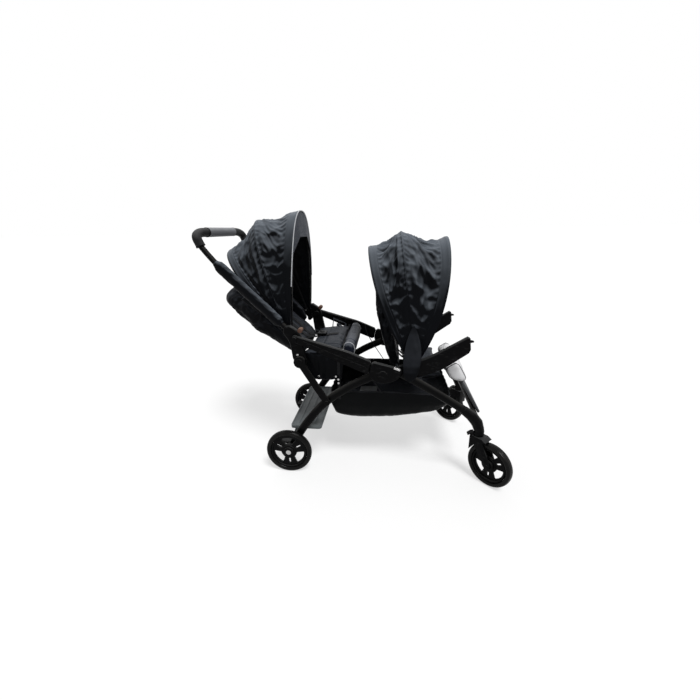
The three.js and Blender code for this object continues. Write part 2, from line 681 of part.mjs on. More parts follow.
const rimWidthShare = 0.36
const openingShares = { turn: 0.26, inner: 0.8, ease: 0.12 }
function wheelCore(radius, width, bore) {
  const rimOuter = radius - tyreDepth - seatGap
  const rimInner = rimOuter - rimDepth
  const half = width * rimWidthShare
  const hubHalf = width / 2 + hubOverhang / 2
  const face = new THREE.Shape()
  face.setFromPoints(circlePoints(rimInner + rimDepth / 2, wheelSides))
  const ease = (rimInner - hubRadius) * openingShares.ease
  for (let spoke = 0; spoke < 3; spoke++) {
    const middle = Math.PI / 2 + (circleTurn * (spoke + 0.5)) / 3
    const spread = (circleTurn / 3) * openingShares.turn
    const opening = new THREE.Path()
    opening.absarc(0, 0, rimInner - ease, middle - spread, middle + spread, false)
    const innerSpread = spread * openingShares.inner
    opening.absarc(0, 0, hubRadius + 2 * ease, middle + innerSpread, middle - innerSpread, true)
    opening.closePath()
    face.holes.push(opening)
    const ray = Math.PI / 2 + (circleTurn * spoke) / 3
    const along = v2(Math.cos(ray), Math.sin(ray))
    const across = v2(-along.y, along.x).multiplyScalar(spokeSlotWidth / 2)
    const near = along.clone().multiplyScalar(hubRadius + 2 * ease)
    const far = along.clone().multiplyScalar(rimInner - 2 * ease)
    const slot = new THREE.Path([
      near.clone().add(across), near.clone().sub(across), far.clone().sub(across), far.clone().add(across),
    ])
    face.holes.push(slot)
  }
  const web = new THREE.ExtrudeGeometry(face, {
    depth: webThickness, curveSegments: 3, bevelEnabled: false,
  })
  web.rotateX(Math.PI / 2)
  web.translate(0, webThickness / 2, 0)
  const rimRing = new THREE.LatheGeometry([
    v2(rimInner, -half), v2(rimOuter, -half), v2(rimOuter, half), v2(rimInner, half), v2(rimInner, -half),
  ], wheelSides)
  const boss = rod(v2(0, 0), hubRadius, -hubHalf, hubHalf)
  const hole = rod(v2(0, 0), bore, -width, width)
  return cut(join(solidOf(web), solidOf(rimRing), boss), hole)
}

// Caster, in its own frame: the stem is at the origin and the wheel trails along +X.
const crownShares = { front: 0.66, top: 0.7 }
const crownStepShares = [0.33, 0.66, 1]
function casterFork() {
  const wheel = v2(casterTrail, frontWheelRadius)
  const inside = frontWheelWidth / 2 + forkClearance
  const outside = inside + forkPlate
  const clear = frontWheelRadius + forkClearance
  const crown = new THREE.Shape()
  const back = -stemHousingRadius - forkPlate
  const front = casterTrail * crownShares.front
  const shoulder = (x) => wheel.y + Math.sqrt(clear ** 2 - (x - wheel.x) ** 2)
  crown.moveTo(back, forkFlatZ)
  crown.lineTo(back, shoulder(back))
  for (const share of crownStepShares) {
    const x = THREE.MathUtils.lerp(back, front, share)
    crown.lineTo(x, shoulder(x))
  }
  crown.lineTo(front + forkPlate, shoulder(front) + forkPlate)
  crown.lineTo(front * crownShares.top, forkFlatZ)
  crown.closePath()
  const top = plate(crown, -outside, outside)
  const shoulderPoint = v2(front / 4, forkFlatZ - stemHousingRadius)
  const arms = [[inside, outside], [-outside, -inside]].map(([low, high]) =>
    plate(linkShape(shoulderPoint, wheel, stemHousingRadius, axleRadius * 2), low, high))
  const axle = rod(wheel, axleRadius, -outside - hubOverhang, outside + hubOverhang)
  const stemTop = place.stem.y + stemHousingDepth - capThickness - 2 * seatGap
  const stem = uprightRod(0, 0, stemRadius, forkFlatZ - overrun, stemTop)
  return join(top, ...arms, axle, stem)
}

// The lever's outline, back from the housing in lengths and up in thicknesses.
const lockShares = [[0, 0], [0, 2], [0.5, 1.5], [1, -0.5], [1, -1.5], [0.5, 0]]
function swivelLock(side) {
  const y = side * casterSpread
  const x = place.stem.x - stemHousingRadius - seatGap
  const z = place.stem.y + 2 * lockThickness
  const corners = lockShares.map(([back, up]) => v2(x - back * lockLength, z + up * lockThickness))
  const shape = roundedShape(corners, lockThickness / 2)
  return plate(shape, y - lockWidth / 2, y + lockWidth / 2)
}

// Canopies. Three bows stand on one pivot as arches, and the cloth is stretched over them. Rows run
// from the rear bow to the front one, columns from the left foot over the top to the right foot.
const archPower = 2.5
const canopyRows = 10
const canopyColumns = 14
const canopySpecs = {
  rear: {
    pivot: place.rearCanopyPivot,
    angles: rearCanopyBows,
    reachShares: rearCanopyReachShares,
    halfWidth: rearCanopyHalfWidth,
    bulgeShare: rearCanopyBulgeShare,
  },
  front: {
    pivot: place.frontCanopyPivot,
    angles: frontCanopyBows,
    reachShares: frontCanopyReachShares,
    halfWidth: frontCanopyHalfWidth,
    bulgeShare: frontCanopyBulgeShare,
  },
}

// A point of an arch: the side edges of the cloth spread away from the middle bow lower down.
function archPoint({ pivot, angles, reachShares, bulgeShare }, angle, reach, halfWidth, column) {
  const start = Math.asin((canopyStartRadius / (reachShares[0] * height)) ** (archPower / 2))
  const turn = THREE.MathUtils.lerp(start, Math.PI - start, column / canopyColumns)
  const across = Math.sign(Math.cos(turn)) * Math.abs(Math.cos(turn)) ** (2 / archPower)
  const up = Math.sin(turn) ** (2 / archPower)
  const spread = 1 + bulgeShare * (1 - up)
  const theta = radians(angles.middle + (angle - angles.middle) * spread)
  const out = reach * up
  return v3(pivot.x + Math.cos(theta) * out, halfWidth * across, pivot.y + Math.sin(theta) * out)
}

function rowAngle({ angles }, row) {
  const half = canopyRows / 2
  return row < half
    ? THREE.MathUtils.lerp(angles.rear, angles.middle, row / half)
    : THREE.MathUtils.lerp(angles.middle, angles.front, (row - half) / half)
}

// A bow lies under the cloth at its row, square to the slope that the cloth has towards the next row.
function bow(spec, row, nextRow, tuckShare, inward) {
  const at = THREE.MathUtils.lerp(row, nextRow, tuckShare)
  const [reach, nextReach] = [row, nextRow].map((r) => spec.reachShares[r] * height)
  const run = reach * radians(Math.abs(rowAngle(spec, row) - rowAngle(spec, nextRow)))
  const inset = bowInset * Math.hypot(1, (reach - nextReach) / run)
  const angle = rowAngle(spec, at)
  const bowReach = THREE.MathUtils.lerp(reach, nextReach, tuckShare) - inset
  const arch = (column) => archPoint(spec, angle, bowReach, spec.halfWidth - bowInset - inward, column)
  const side = v3(-Math.sin(radians(angle)), 0, Math.cos(radians(angle)))
  const rings = Array.from({ length: canopyColumns + 1 }, (_, column) => {
    const along = arch(Math.min(column + 1, canopyColumns)).sub(arch(Math.max(column - 1, 0)))
    const out = along.cross(side).normalize()
    return circlePoints(bowRadius, bowSides).map((p) =>
      arch(column).addScaledVector(out, p.x).addScaledVector(side, p.y))
  })
  const first = arch(0)
  const ends = [-1, 1].map((hand) => {
    const [low, high] = onSide(hand, first.y - bowRadius, first.y + bowRadius)
    return plate(linkShape(spec.pivot, v2(first.x, first.z), canopyHubRadius / 2, bowRadius * 1.5), low, high)
  })
  const bore = rod(spec.pivot, canopyPinRadius + pinClearance, -spec.halfWidth, spec.halfWidth)
  return cut(join(loft(rings), ...ends), bore)
}

// The three bows of a canopy lie beside each other at the pivot, one step further in each time.
const bows = (spec) => ({
  rear: bow(spec, 0, 1, bowTuckShare, 0),
  middle: bow(spec, canopyRows / 2, canopyRows / 2 + 1, 0, bowStep),
  front: bow(spec, canopyRows, canopyRows - 1, bowTuckShare, 2 * bowStep),
})

// The cloth is drawn in between the bows.
function canopy(spec) {
  const sheet = (offset) => Array.from({ length: canopyRows + 1 }, (_, row) =>
    Array.from({ length: canopyColumns + 1 }, (_, column) => archPoint(
      spec, rowAngle(spec, row), spec.reachShares[row] * height - offset, spec.halfWidth - offset, column,
    )))
  return skin(sheet(0), sheet(fabricThickness))
}

// The visor hangs from the front edge of the rear canopy, deepest in the middle.
const visorColumns = { first: 2, last: 12 }
const visorShares = { lean: 0.2, inward: 0.03, power: 0.7 }
function visor() {
  const spec = canopySpecs.rear
  const inset = fabricThickness + seatGap
  const reach = spec.reachShares[canopyRows] * height - inset
  const columns = visorColumns.last - visorColumns.first
  const face = (forward) => grid(2, columns, (down, along) => {
    const column = THREE.MathUtils.lerp(visorColumns.first, visorColumns.last, along)
    const top = archPoint(spec, spec.angles.front, reach, spec.halfWidth - inset, column)
    const drop = Math.max(visorDrop * Math.sin(Math.PI * along) ** visorShares.power, visorThickness)
    const lean = visorDrop * visorShares.lean * down * Math.sin(Math.PI * along)
    const y = top.y * (1 - visorShares.inward * down)
    return v3(top.x + 2 * seatGap + forward + lean, y, top.z - drop * down)
  })
  return skin(face(visorThickness), face(0))
}

// Soft seats. A pad is its side outline carried across the seat, drawn in towards both ends.
const padShares = [
  { out: 1, size: 0.62 }, { out: 0.95, size: 0.86 }, { out: 0.8, size: 0.97 }, { out: 0.4, size: 1 },
]
const rearBackTipShare = 0.6
const frontBackTipShare = 0.6
function pad(name, halfWidth, foot, tipShare = 1) {
  const profile = roundedShape(outline(name), seatCrown).getPoints(1)
  if (profile[0].distanceTo(profile.at(-1)) < overrun / 2) profile.pop()
  const middle = profile.reduce((sum, p) => sum.add(p), v2(0, 0)).divideScalar(profile.length)
  const stations = [
    ...padShares.map(({ out, size }) => [-out, size]),
    ...padShares.map(({ out, size }) => [out, size]).reverse(),
  ]
  const length = Math.max(...profile.map((p) => p.distanceTo(foot ?? middle)))
  const rings = stations.map(([out, size]) => profile.map((p) => {
    const q = middle.clone().lerp(p, size)
    const towardsTip = Math.max(2 * q.distanceTo(foot ?? middle) / length - 1, 0)
    return v3(q.x, out * halfWidth * THREE.MathUtils.lerp(1, tipShare, towardsTip), q.y)
  }))
  return loft(rings)
}

const cushionShares = { end: 0.35, drawn: 0.04, side: 0.55 }
const cushionGrid = { along: 5, across: 8 }
function cushion(name, halfWidth, depth) {
  const curve = new THREE.CatmullRomCurve3(sidePath(name, 0), false, 'centripetal')
  const surface = (top) => grid(cushionGrid.along, cushionGrid.across, (along, across) => {
    const p = curve.getPoint(along)
    const share = 2 * across - 1
    const edge = (1 - share ** 4) * Math.min(1, 4 * along * (1 - along) + cushionShares.end)
    const drawn = 1 - cushionShares.drawn * (2 * along - 1) ** 2
    const below = THREE.MathUtils.lerp(cushionShares.side, 1, edge)
    return v3(p.x, share * halfWidth * drawn, top ? p.z + seatCrown * edge : p.z - depth * below)
  })
  return skin(surface(true), surface(false))
}

// A sewn wing joins a cushion to the side frame: a short strip from one line to another.
function wing(side, outer, inner) {
  const ring = ({ y, rear, front }) => [
    v3(rear.x, side * y, rear.y), v3(front.x, side * y, front.y),
    v3(front.x, side * y, front.y + seatWingThickness), v3(rear.x, side * y, rear.y + seatWingThickness),
  ]
  return loft([ring(outer), ring(inner)])
}

const wingShares = {
  rearOuter: [[-0.2688, 0.5327], [-0.1472, 0.5027]],
  rearInner: [[-0.2688, 0.4855], [-0.1472, 0.4909]],
  frontOuter: [[0.3456, 0.4055], [0.4192, 0.3964]],
  frontInner: [[0.3456, 0.3982], [0.4192, 0.3982]],
}
function seatWing(side, kind, outerY, innerY) {
  const [outerRear, outerFront] = wingShares[`${kind}Outer`].map(placeOf)
  const [innerRear, innerFront] = wingShares[`${kind}Inner`].map(placeOf)
  const outer = { y: outerY, rear: outerRear, front: outerFront }
  const inner = { y: innerY, rear: innerRear, front: innerFront }
  return wing(side, outer, inner)
}

function rearSeatBase() {
  const base = cushion('rearSeat', seatHalfWidth + seatCrown, 2 * seatCrown + overrun)
  const wings = [1, -1].map((side) => seatWing(side, 'rear', railInner - seatGap, seatHalfWidth))
  const pivot = place.rearBackPivot
  const earFoot = v2(pivot.x + 3 * pinHeadRadius, pivot.y + pinRadius / 2)
  const ears = [1, -1].map((side) => {
    const inner = rearBackHalfWidth + layerGap
    const [low, high] = onSide(side, inner, inner + seatWingThickness)
    return plate(linkShape(pivot, earFoot, pinHeadRadius, pinHeadRadius), low, high)
  })
  const bore = rod(pivot, pinRadius + pinClearance, -railCentre, railCentre)
  return cut(join(base, ...wings, ...ears), bore)
}

// The back swings up between the ends of the canopy pins.
function rearSeatBack() {
  const half = rearBackHalfWidth + layerGap + seatWingThickness - seatGap
  const back = pad('rearBack', rearBackHalfWidth, place.rearBackPivot, rearBackTipShare)
  return join(back, rod(place.rearBackPivot, pinRadius, -half, half))
}

function frontSeatBase() {
  const base = cushion('frontSeat', seatHalfWidth, 2 * seatCrown)
  const legInner = railCentre - frontLegWidth / 2 * Math.cos(Math.PI / tubeSides) - seatGap
  return join(base, ...[1, -1].map((side) => seatWing(side, 'front', legInner, seatHalfWidth - seatCrown)))
}

function frontSeatBack() {
  const half = limbInner + layerGap - seatGap
  const back = pad('frontBack', seatHalfWidth - seatCrown, place.frontBackPivot, frontBackTipShare)
  return join(back, rod(place.frontBackPivot, pinRadius, -half, half))
}

// Basket: an open bag with a sagging floor and a rim that rises in the middle.
function heightAt(name, x) {
  const points = pathShares[name].map(placeOf)
  const next = points.findIndex((p) => p.x > x)
  if (next === 0) return points[0].y
  if (next < 0) return points.at(-1).y
  const [a, b] = [points[next - 1], points[next]]
  return THREE.MathUtils.lerp(a.y, b.y, (x - a.x) / (b.x - a.x))
}

const basketRingShares = [
  { down: 0, size: 1 }, { down: 0.55, size: 0.995 }, { down: 0.9, size: 0.965 },
  { down: 1, size: 0.9 }, { down: 1, size: 0.5 }, { down: 1, size: 0.2 },
]
const basketCornerShare = 0.25
function basketRing({ down, size }, inset = 0, lift = 0) {
  const ends = pathShares.basketRim.map(placeOf)
  const middle = (ends[0].x + ends.at(-1).x) / 2
  const halfX = (ends.at(-1).x - ends[0].x) / 2 - inset
  const halfY = THREE.MathUtils.lerp(basketHalfWidth, basketFloorHalfWidth, down) - inset
  const squared = (value) => Math.sign(value) * Math.abs(value) ** basketCornerShare
  return Array.from({ length: basketSides }, (_, k) => {
    const turn = (circleTurn * (k + 0.5)) / basketSides
    const x = middle + halfX * size * squared(Math.cos(turn))
    const rim = heightAt('basketRim', x) + (lift > 0 ? overrun : 0)
    const floor = heightAt('basketFloor', x) + lift
    return v3(x, halfY * size * squared(Math.sin(turn)), THREE.MathUtils.lerp(rim, floor, down))
  })
}

const bag = (inset, lift) => loft(basketRingShares.map((ring) => basketRing(ring, inset, lift)))

// How far out the rim of the basket lies at a place along it.
function rimHalfWidth(x) {
  const rim = basketRing(basketRingShares[0]).filter((p) => p.y > 0)
  const next = rim.findIndex((p) => p.x < x)
  const [a, b] = [rim[next - 1], rim[next]]
  return THREE.MathUtils.lerp(a.y, b.y, (x - a.x) / (b.x - a.x))
}

const basket = () => cut(bag(0, 0), bag(basketWall, basketWall))

const boardShares = [[-0.024, 0.2182], [0.112, 0.2182]]
function basketBoard() {
  const lift = basketWall + 2 * overrun
  const [rear, front] = boardShares.map(placeOf).map(({ x }) => v2(x, heightAt('basketFloor', x) + lift))
  const up = v2(0, boardThickness)
  const shape = roundedShape([rear, front, front.clone().add(up), rear.clone().add(up)], boardThickness / 4)
  return plate(shape, -boardHalfWidth, boardHalfWidth)
}

const strapShares = { rail: [-0.128, 0.5027], knee: [-0.128, 0.48], foot: [-0.128, 0.3073] }
function basketStrap(side) {
  const { rail: railShare, knee: kneeShare, foot: footShare } = strapShares
  const [top, knee, foot] = [railShare, kneeShare, footShare].map(placeOf)
  const half = strapThickness / 2
  const flat = rimHalfWidth(top.x) + 3 * seatGap + half
  const stations = [
    { y: railInner - seatGap, z: top.y, outY: 0, outZ: 2 * half },
    { y: flat + half, z: knee.y + half, outY: half, outZ: half },
    { y: flat, z: knee.y - strapWidth, outY: half, outZ: 0 },
    { y: flat, z: foot.y, outY: half, outZ: 0 },
  ]
  const [rear, front] = [top.x - strapWidth / 2, top.x + strapWidth / 2]
  const rings = stations.map(({ y, z, outY, outZ }) => [
    v3(rear, side * (y + outY), z - outZ), v3(front, side * (y + outY), z - outZ),
    v3(front, side * (y - outY), z + outZ), v3(rear, side * (y - outY), z + outZ),
  ])
  return loft(rings)
}

const cordShares = [[0.0048, 0.4991], [0.0128, 0.48], [0.0576, 0.4309], [0.16, 0.34]]
function basketCord(side) {
  const places = cordShares.map(placeOf)
  const flat = rimHalfWidth(places.at(-1).x) + seatGap + cordRadius
  const spreads = [railInner - seatGap - cordRadius, flat + 2 * cordRadius, flat + cordRadius, flat]
  const points = places.map((p, i) => v3(p.x, side * spreads[i], p.y))
  return tube(points, cordRadius, cordRadius, 12, 6)
}

// A cloth sleeve round the handle tube, open at both ends.
const sleeveDepthShare = 1.7
function handleSleeve(side) {
  const path = sidePath('sleeve', side * limbCentre)
  const bore = sidePath('handleTube', side * limbCentre)
  const wide = tubeRadius + seatGap * 2
  return cut(
    tube(path, tubeRadius + sleeveThickness, sleeveDepthShare * tubeRadius, 6, 12),
    tube(bore, wide, wide, 10),
  )
}

const finishes = {
  frame: { color: 0x17181a, roughness: 0.4, metalness: 0.6 },
  moulded: { color: 0x141516, roughness: 0.55, metalness: 0 },
  tyre: { color: 0x101011, roughness: 0.5, metalness: 0 },
  steel: { color: 0x9a9c9e, roughness: 0.3, metalness: 0.9 },
  canopy: { color: 0x1c2027, roughness: 0.8, metalness: 0 },
  lining: { color: 0x3a3f48, roughness: 0.8, metalness: 0 },
  seat: { color: 0x12151c, roughness: 0.9, metalness: 0 },
  pale: { color: 0xb9bbbf, roughness: 0.9, metalness: 0 },
  foam: { color: 0x131416, roughness: 0.85, metalness: 0 },
  platform: { color: 0x4b5052, roughness: 0.6, metalness: 0 },
  footrest: { color: 0x2b2d30, roughness: 0.6, metalness: 0 },
}

const stroller = new THREE.Group()
function add(name, solid, finish, parent = stroller) {
  const mesh = new THREE.Mesh(geometryOf(solid), new THREE.MeshStandardMaterial(finishes[finish]))
  mesh.name = name
  parent.add(mesh)
  return mesh
}

const sideParts = [
  ['rail', rail, 'moulded'],
  ['junction', junction, 'moulded'],
  ['front_leg', frontLeg, 'frame'],
  ['front_elbow', elbow, 'moulded'],
  ['front_arm', frontArm, 'moulded'],
  ['hinge_block', hingeBlock, 'moulded'],
  ['handle_tube', handleTube, 'frame'],
  ['handle_sleeve', handleSleeve, 'canopy'],
  ['strut', strut, 'frame'],
  ['rear_leg', rearLeg, 'frame'],
  ['brake_pedal', brakePedal, 'moulded'],
  ['swivel_lock', swivelLock, 'moulded'],
  ['basket_strap', basketStrap, 'seat'],
  ['basket_cord', basketCord, 'seat'],
]
for (const [name, make, finish] of sideParts) {
  for (const [word, side] of sides) add(`${name}_${word}`, make(side), finish)
}

add('handle_grip', handleGrip(), 'foam')
add('rear_axle', rearAxle(), 'steel')
add('standing_platform', platform(), 'platform')
add('front_cross_tube', crossTube(), 'frame')
add('footrest', footrest(), 'footrest')
add('rear_seat_base', rearSeatBase(), 'seat')
add('rear_seat_back', rearSeatBack(), 'seat')
add('rear_seat_bolster', pad('rearBolster', seatHalfWidth - overrun), 'seat')
add('front_seat_base', frontSeatBase(), 'seat')
add('front_seat_back', frontSeatBack(), 'seat')
add('calf_pad', pad('calfPad', footrestHalfWidth), 'pale')
add('basket', basket(), 'seat')
add('basket_board', basketBoard(), 'platform')

for (const [name, spec] of Object.entries(canopySpecs)) {
  add(`${name}_canopy`, canopy(spec), 'canopy')
  for (const [which, solid] of Object.entries(bows(spec))) add(`${name}_canopy_bow_${which}`, solid, 'frame')
}
add('rear_visor', visor(), 'lining')

function addWheel(name, parent, x, y, z, radius, width) {
  const wheel = new THREE.Group()
  wheel.position.set(x, y, z)
  add(`${name}_tyre`, tyre(radius, width), 'tyre', wheel)
  add(`${name}_hub`, wheelCore(radius, width, axleRadius + boreClearance), 'moulded', wheel)
  parent.add(wheel)
}

for (const [word, side] of sides) {
  const rearY = side * (limbOuter + layerGap + hubOverhang + rearWheelWidth / 2)
  const { x, y } = place.rearAxle
  addWheel(`rear_wheel_${word}`, stroller, x, rearY, y, rearWheelRadius, rearWheelWidth)
  const caster = new THREE.Group()
  caster.position.set(place.stem.x, side * casterSpread, 0)
  caster.rotation.z = radians(side > 0 ? casterYaw + 180 : casterYaw)
  add(`caster_fork_${word}`, casterFork(), 'moulded', caster)
  const radius = frontWheelRadius
  addWheel(`front_wheel_${word}`, caster, casterTrail, 0, radius, radius, frontWheelWidth)
  stroller.add(caster)
}

export default stroller
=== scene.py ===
# %% [markdown]
# # Dressing a sit and stand stroller
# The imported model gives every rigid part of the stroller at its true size. This lesson loads it,
# aims a camera as the photograph was taken, and then gives each part the shape and the finish of
# the real one: coated tubes, moulded plastic, rubber tyres, wrinkled cloth and padded seats.
# Everything is in metres, +X is the front, +Y the left side and +Z is up.

# %% Load the model
import json
import math
import bpy
import numpy as np
from mathutils import Matrix, Vector, noise
from mathutils.bvhtree import BVHTree

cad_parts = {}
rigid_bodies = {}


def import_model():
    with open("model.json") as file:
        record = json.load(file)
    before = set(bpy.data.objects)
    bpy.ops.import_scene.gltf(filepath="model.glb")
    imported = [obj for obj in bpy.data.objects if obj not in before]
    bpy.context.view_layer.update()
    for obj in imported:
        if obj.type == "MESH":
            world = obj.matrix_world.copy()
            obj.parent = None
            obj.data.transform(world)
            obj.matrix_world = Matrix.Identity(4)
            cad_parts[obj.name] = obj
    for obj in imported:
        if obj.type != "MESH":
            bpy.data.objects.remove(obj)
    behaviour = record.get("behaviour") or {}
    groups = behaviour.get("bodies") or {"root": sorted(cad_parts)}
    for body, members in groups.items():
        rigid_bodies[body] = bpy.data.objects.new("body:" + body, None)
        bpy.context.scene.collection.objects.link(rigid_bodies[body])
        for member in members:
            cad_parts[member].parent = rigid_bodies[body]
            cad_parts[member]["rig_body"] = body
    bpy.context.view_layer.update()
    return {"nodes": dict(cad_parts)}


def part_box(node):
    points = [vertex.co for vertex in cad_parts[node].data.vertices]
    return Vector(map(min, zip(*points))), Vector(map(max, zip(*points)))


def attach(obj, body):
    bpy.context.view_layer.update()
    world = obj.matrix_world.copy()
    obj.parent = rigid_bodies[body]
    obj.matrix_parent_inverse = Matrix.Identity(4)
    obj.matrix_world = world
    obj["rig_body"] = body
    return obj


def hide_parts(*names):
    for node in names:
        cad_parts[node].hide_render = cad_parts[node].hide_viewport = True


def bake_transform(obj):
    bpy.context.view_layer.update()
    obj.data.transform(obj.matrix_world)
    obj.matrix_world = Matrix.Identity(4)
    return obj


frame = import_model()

nodes = frame["nodes"]
sides = (("left", 1), ("right", -1))

# %% [markdown]
# An operator works on whatever is selected, and the loaded parts arrive selected. So each
# step begins with an empty selection and ends with only its own piece active.

# %% Selection helpers
def pick(*pieces):
    bpy.ops.object.select_all(action="DESELECT")
    for piece in pieces:
        piece.select_set(True)
    if pieces:
        bpy.context.view_layer.objects.active = pieces[0]

def named(piece, name):
    piece.name = name
    piece.data.name = name
    return piece

def added(mesh, name):
    piece = bpy.data.objects.new(name, mesh)
    bpy.context.scene.collection.objects.link(piece)
    return piece

pick()
print("nothing is selected now")

# %% [markdown]
# The camera stands a little above the push bar, on the right side of the stroller, and looks
# slightly down. Its place and its angles come from wheels, rails and legs, whose sizes are known,
# found again in the photograph. A camera looks along its own -Z axis, so its three axes are
# written straight into a matrix.

# %% Camera
frame_pixels, focal_pixels = 700, 347.052
pitch, yaw, roll = math.radians(19.152), math.radians(6.538), 0.0195
camera_place = Matrix.Translation((0.12, -1.5169, 1.0225))
forward = Vector((-math.sin(yaw) * math.cos(pitch), math.cos(yaw) * math.cos(pitch), -math.sin(pitch)))
level = Vector((math.cos(yaw), math.sin(yaw), 0))
drop = forward.cross(level)
right = level * math.cos(roll) + drop * math.sin(roll)
down = drop * math.cos(roll) - level * math.sin(roll)
bpy.ops.object.camera_add()
camera = named(bpy.context.object, "camera")
camera.matrix_world = camera_place @ Matrix((right, -down, -forward)).transposed().to_4x4()
camera.data.sensor_width = 36
camera.data.lens = camera.data.sensor_width * focal_pixels / frame_pixels
bpy.context.scene.camera = camera
bpy.context.scene.view_settings.view_transform = "Standard"
print("lens", round(camera.data.lens, 2), "mm")

# %% [markdown]
# Shader maths reads best as ordinary sums. `Sock` wraps the output of a shader node, and every
# sign used on it adds the Math node that does the sum. `Finish` starts a material with its
# Principled shader, and its one method `node` adds any other node: its type, then its settings,
# then the values or links of its sockets.

# %% Shader maths
class Sock:
    def __init__(self, shading, output):
        self.shading, self.output = shading, output

    def math(self, operation, first, second=0.0):
        return self.shading.node("ShaderNodeMath", {"operation": operation}, {0: first, 1: second})

    def __add__(self, other):
        return self.math("ADD", self, other)

    def __rsub__(self, other):
        return self.math("SUBTRACT", other, self)

    def __mul__(self, other):
        return self.math("MULTIPLY", self, other)

class Shading:
    def __init__(self, tree):
        self.tree = tree

    def node(self, kind, settings=None, sockets=None, output=0):
        made = self.tree.nodes.new(kind)
        for key, value in (settings or {}).items():
            setattr(made, key, value)
        for key, value in (sockets or {}).items():
            if isinstance(value, Sock):
                self.tree.links.new(value.output, made.inputs[key])
            else:
                made.inputs[key].default_value = value
        return Sock(self, made.outputs[output])

class Finish(Shading):
    def __init__(self, name, color, roughness, **sockets):
        self.material = bpy.data.materials.new(name)
        self.material.use_nodes = True
        super().__init__(self.material.node_tree)
        self.shader = self.tree.nodes["Principled BSDF"]
        values = {"Base Color": (*color, 1), "Roughness": roughness, **sockets}
        for key, value in values.items():
            self.shader.inputs[key.replace("_", " ")].default_value = value
        self.color, self.roughness = color, roughness

    def feed(self, socket, value):
        self.tree.links.new(value.output, self.shader.inputs[socket])
        return self

print("shader maths is ready")

# %% [markdown]
# Patterns are laid out in the object's own coordinates, in metres. Since every piece keeps its
# place in its mesh, one material runs on unbroken over many pieces. Cloth also has a UV map that
# is measured along its threads, so the weave follows the cloth over the bows. The last helper is a
# mask of painted light: whatever faces up is painted paler, as if lit from above, with dust in patches.

# %% Pattern helpers
def spots(finish, size, detail=3.0, stretch=(1, 1, 1), kind="FBM"):
    place = finish.node("ShaderNodeTexCoord", output="Object")
    place = finish.node("ShaderNodeMapping", {}, {"Vector": place, "Scale": stretch})
    sockets = {"Vector": place, "Scale": 1 / size, "Detail": detail}
    return finish.node("ShaderNodeTexNoise", {"noise_type": kind, "normalize": True}, sockets)

def mixed(shading, mask, first, second):
    colors = {"Factor": mask, "A": (*first, 1), "B": (*second, 1)}
    return shading.node("ShaderNodeMix", {"data_type": "RGBA"}, colors, output=2)

def tint(finish, mask, other):
    return finish.feed("Base Color", mixed(finish, mask, finish.color, other))

def shine(finish, mask, spread):
    return finish.feed("Roughness", mask * spread + (finish.roughness - spread / 2))

def relief(finish, height, depth, below=None):
    sockets = {"Height": height, "Strength": 1.0, "Distance": depth}
    if below is not None:
        sockets["Normal"] = below
    return finish.node("ShaderNodeBump", {}, sockets)

def ramp(finish, value, low, high):
    sockets = {"Value": value, "From Min": low, "From Max": high}
    return finish.node("ShaderNodeMapRange", {"clamp": True}, sockets)

# Painted light: high where a surface faces up, as if lit from above, with patches of dust mixed in.
def painted_light_and_dust(finish, size, spread=0.36):
    facing = finish.node("ShaderNodeNewGeometry", output="Normal")
    up = finish.node("ShaderNodeSeparateXYZ", {}, {"Vector": facing}, "Z")
    return ramp(finish, up * 0.9 + spots(finish, size, 5) * spread, 0.34, 1.04)

print("pattern helpers are ready")

# %% [markdown]
# The legs and tubes wear a satin black powder coat. It has a faint orange-peel surface and is a
# touch glossier where hands and cloth rub it. Its up-facing sides carry a painted warm-grey highlight
# with a little pale dust. The mouldings are black nylon with a fine grain that spreads the light, with
# slightly paler scuffs and the same painted highlight on top.

# %% Coated metal and moulded plastic
def coated_metal():
    finish = Finish("black_powder_coat", (0.0014, 0.0014, 0.0016), 0.28, Specular_IOR_Level=0.05)
    # Painted highlight: up-facing sides are painted warm grey, with a little dust in patches.
    tint(finish, painted_light_and_dust(finish, 0.06), (0.032, 0.0310, 0.0295))
    shine(finish, spots(finish, 0.03), 0.16)
    return finish.feed("Normal", relief(finish, spots(finish, 0.0022, 1), 0.00012))

def moulding(name, color, pale, rough):
    finish = Finish(name, color, rough, Specular_IOR_Level=0.045)
    # Painted highlight on up-facing sides, joined with real scuffs; both take the pale colour.
    top_light_and_dust = painted_light_and_dust(finish, 0.04)
    scuffed = ramp(finish, spots(finish, 0.02, 6, (1, 1, 3)), 0.58, 0.74)
    tint(finish, top_light_and_dust.math("MAXIMUM", top_light_and_dust, scuffed * 0.35), pale)
    shine(finish, spots(finish, 0.012), 0.18)
    return finish.feed("Normal", relief(finish, spots(finish, 0.0009, 2), 0.00018))

coat = coated_metal()
# The second colour of a moulding is its painted top highlight, which its scuffs share.
nylon = moulding("moulded_nylon", (0.0014, 0.0014, 0.0017), (0.034, 0.0345, 0.0350), 0.36)
print("made", coat.material.name, "and", nylon.material.name)

# %% [markdown]
# The tyres are solid foamed rubber: almost black, with a soft gloss on the tread and grey dust
# in patches. The hubs are a slightly paler plastic than the frame. Axles and rivets are steel
# that shows fine turning marks, the knob by the hinge is worn brown plastic.

# %% Rubber, hub plastic and steel
def rubber():
    finish = Finish("tyre_rubber", (0.0018, 0.0018, 0.0018), 0.28, Specular_IOR_Level=0.10)
    dust = ramp(finish, spots(finish, 0.045, 6), 0.50, 0.80)
    tint(finish, dust * 0.8, (0.016, 0.015, 0.0135))
    shine(finish, spots(finish, 0.02, 4), 0.22)
    return finish.feed("Normal", relief(finish, spots(finish, 0.0016, 3), 0.00022))

def steel():
    finish = Finish("bright_steel", (0.55, 0.55, 0.56), 0.30, Metallic=1.0)
    marks = spots(finish, 0.0015, 3, (1, 0.08, 1))
    tint(finish, marks, (0.36, 0.35, 0.34))
    shine(finish, marks, 0.2)
    return finish.feed("Normal", relief(finish, marks, 0.00005))

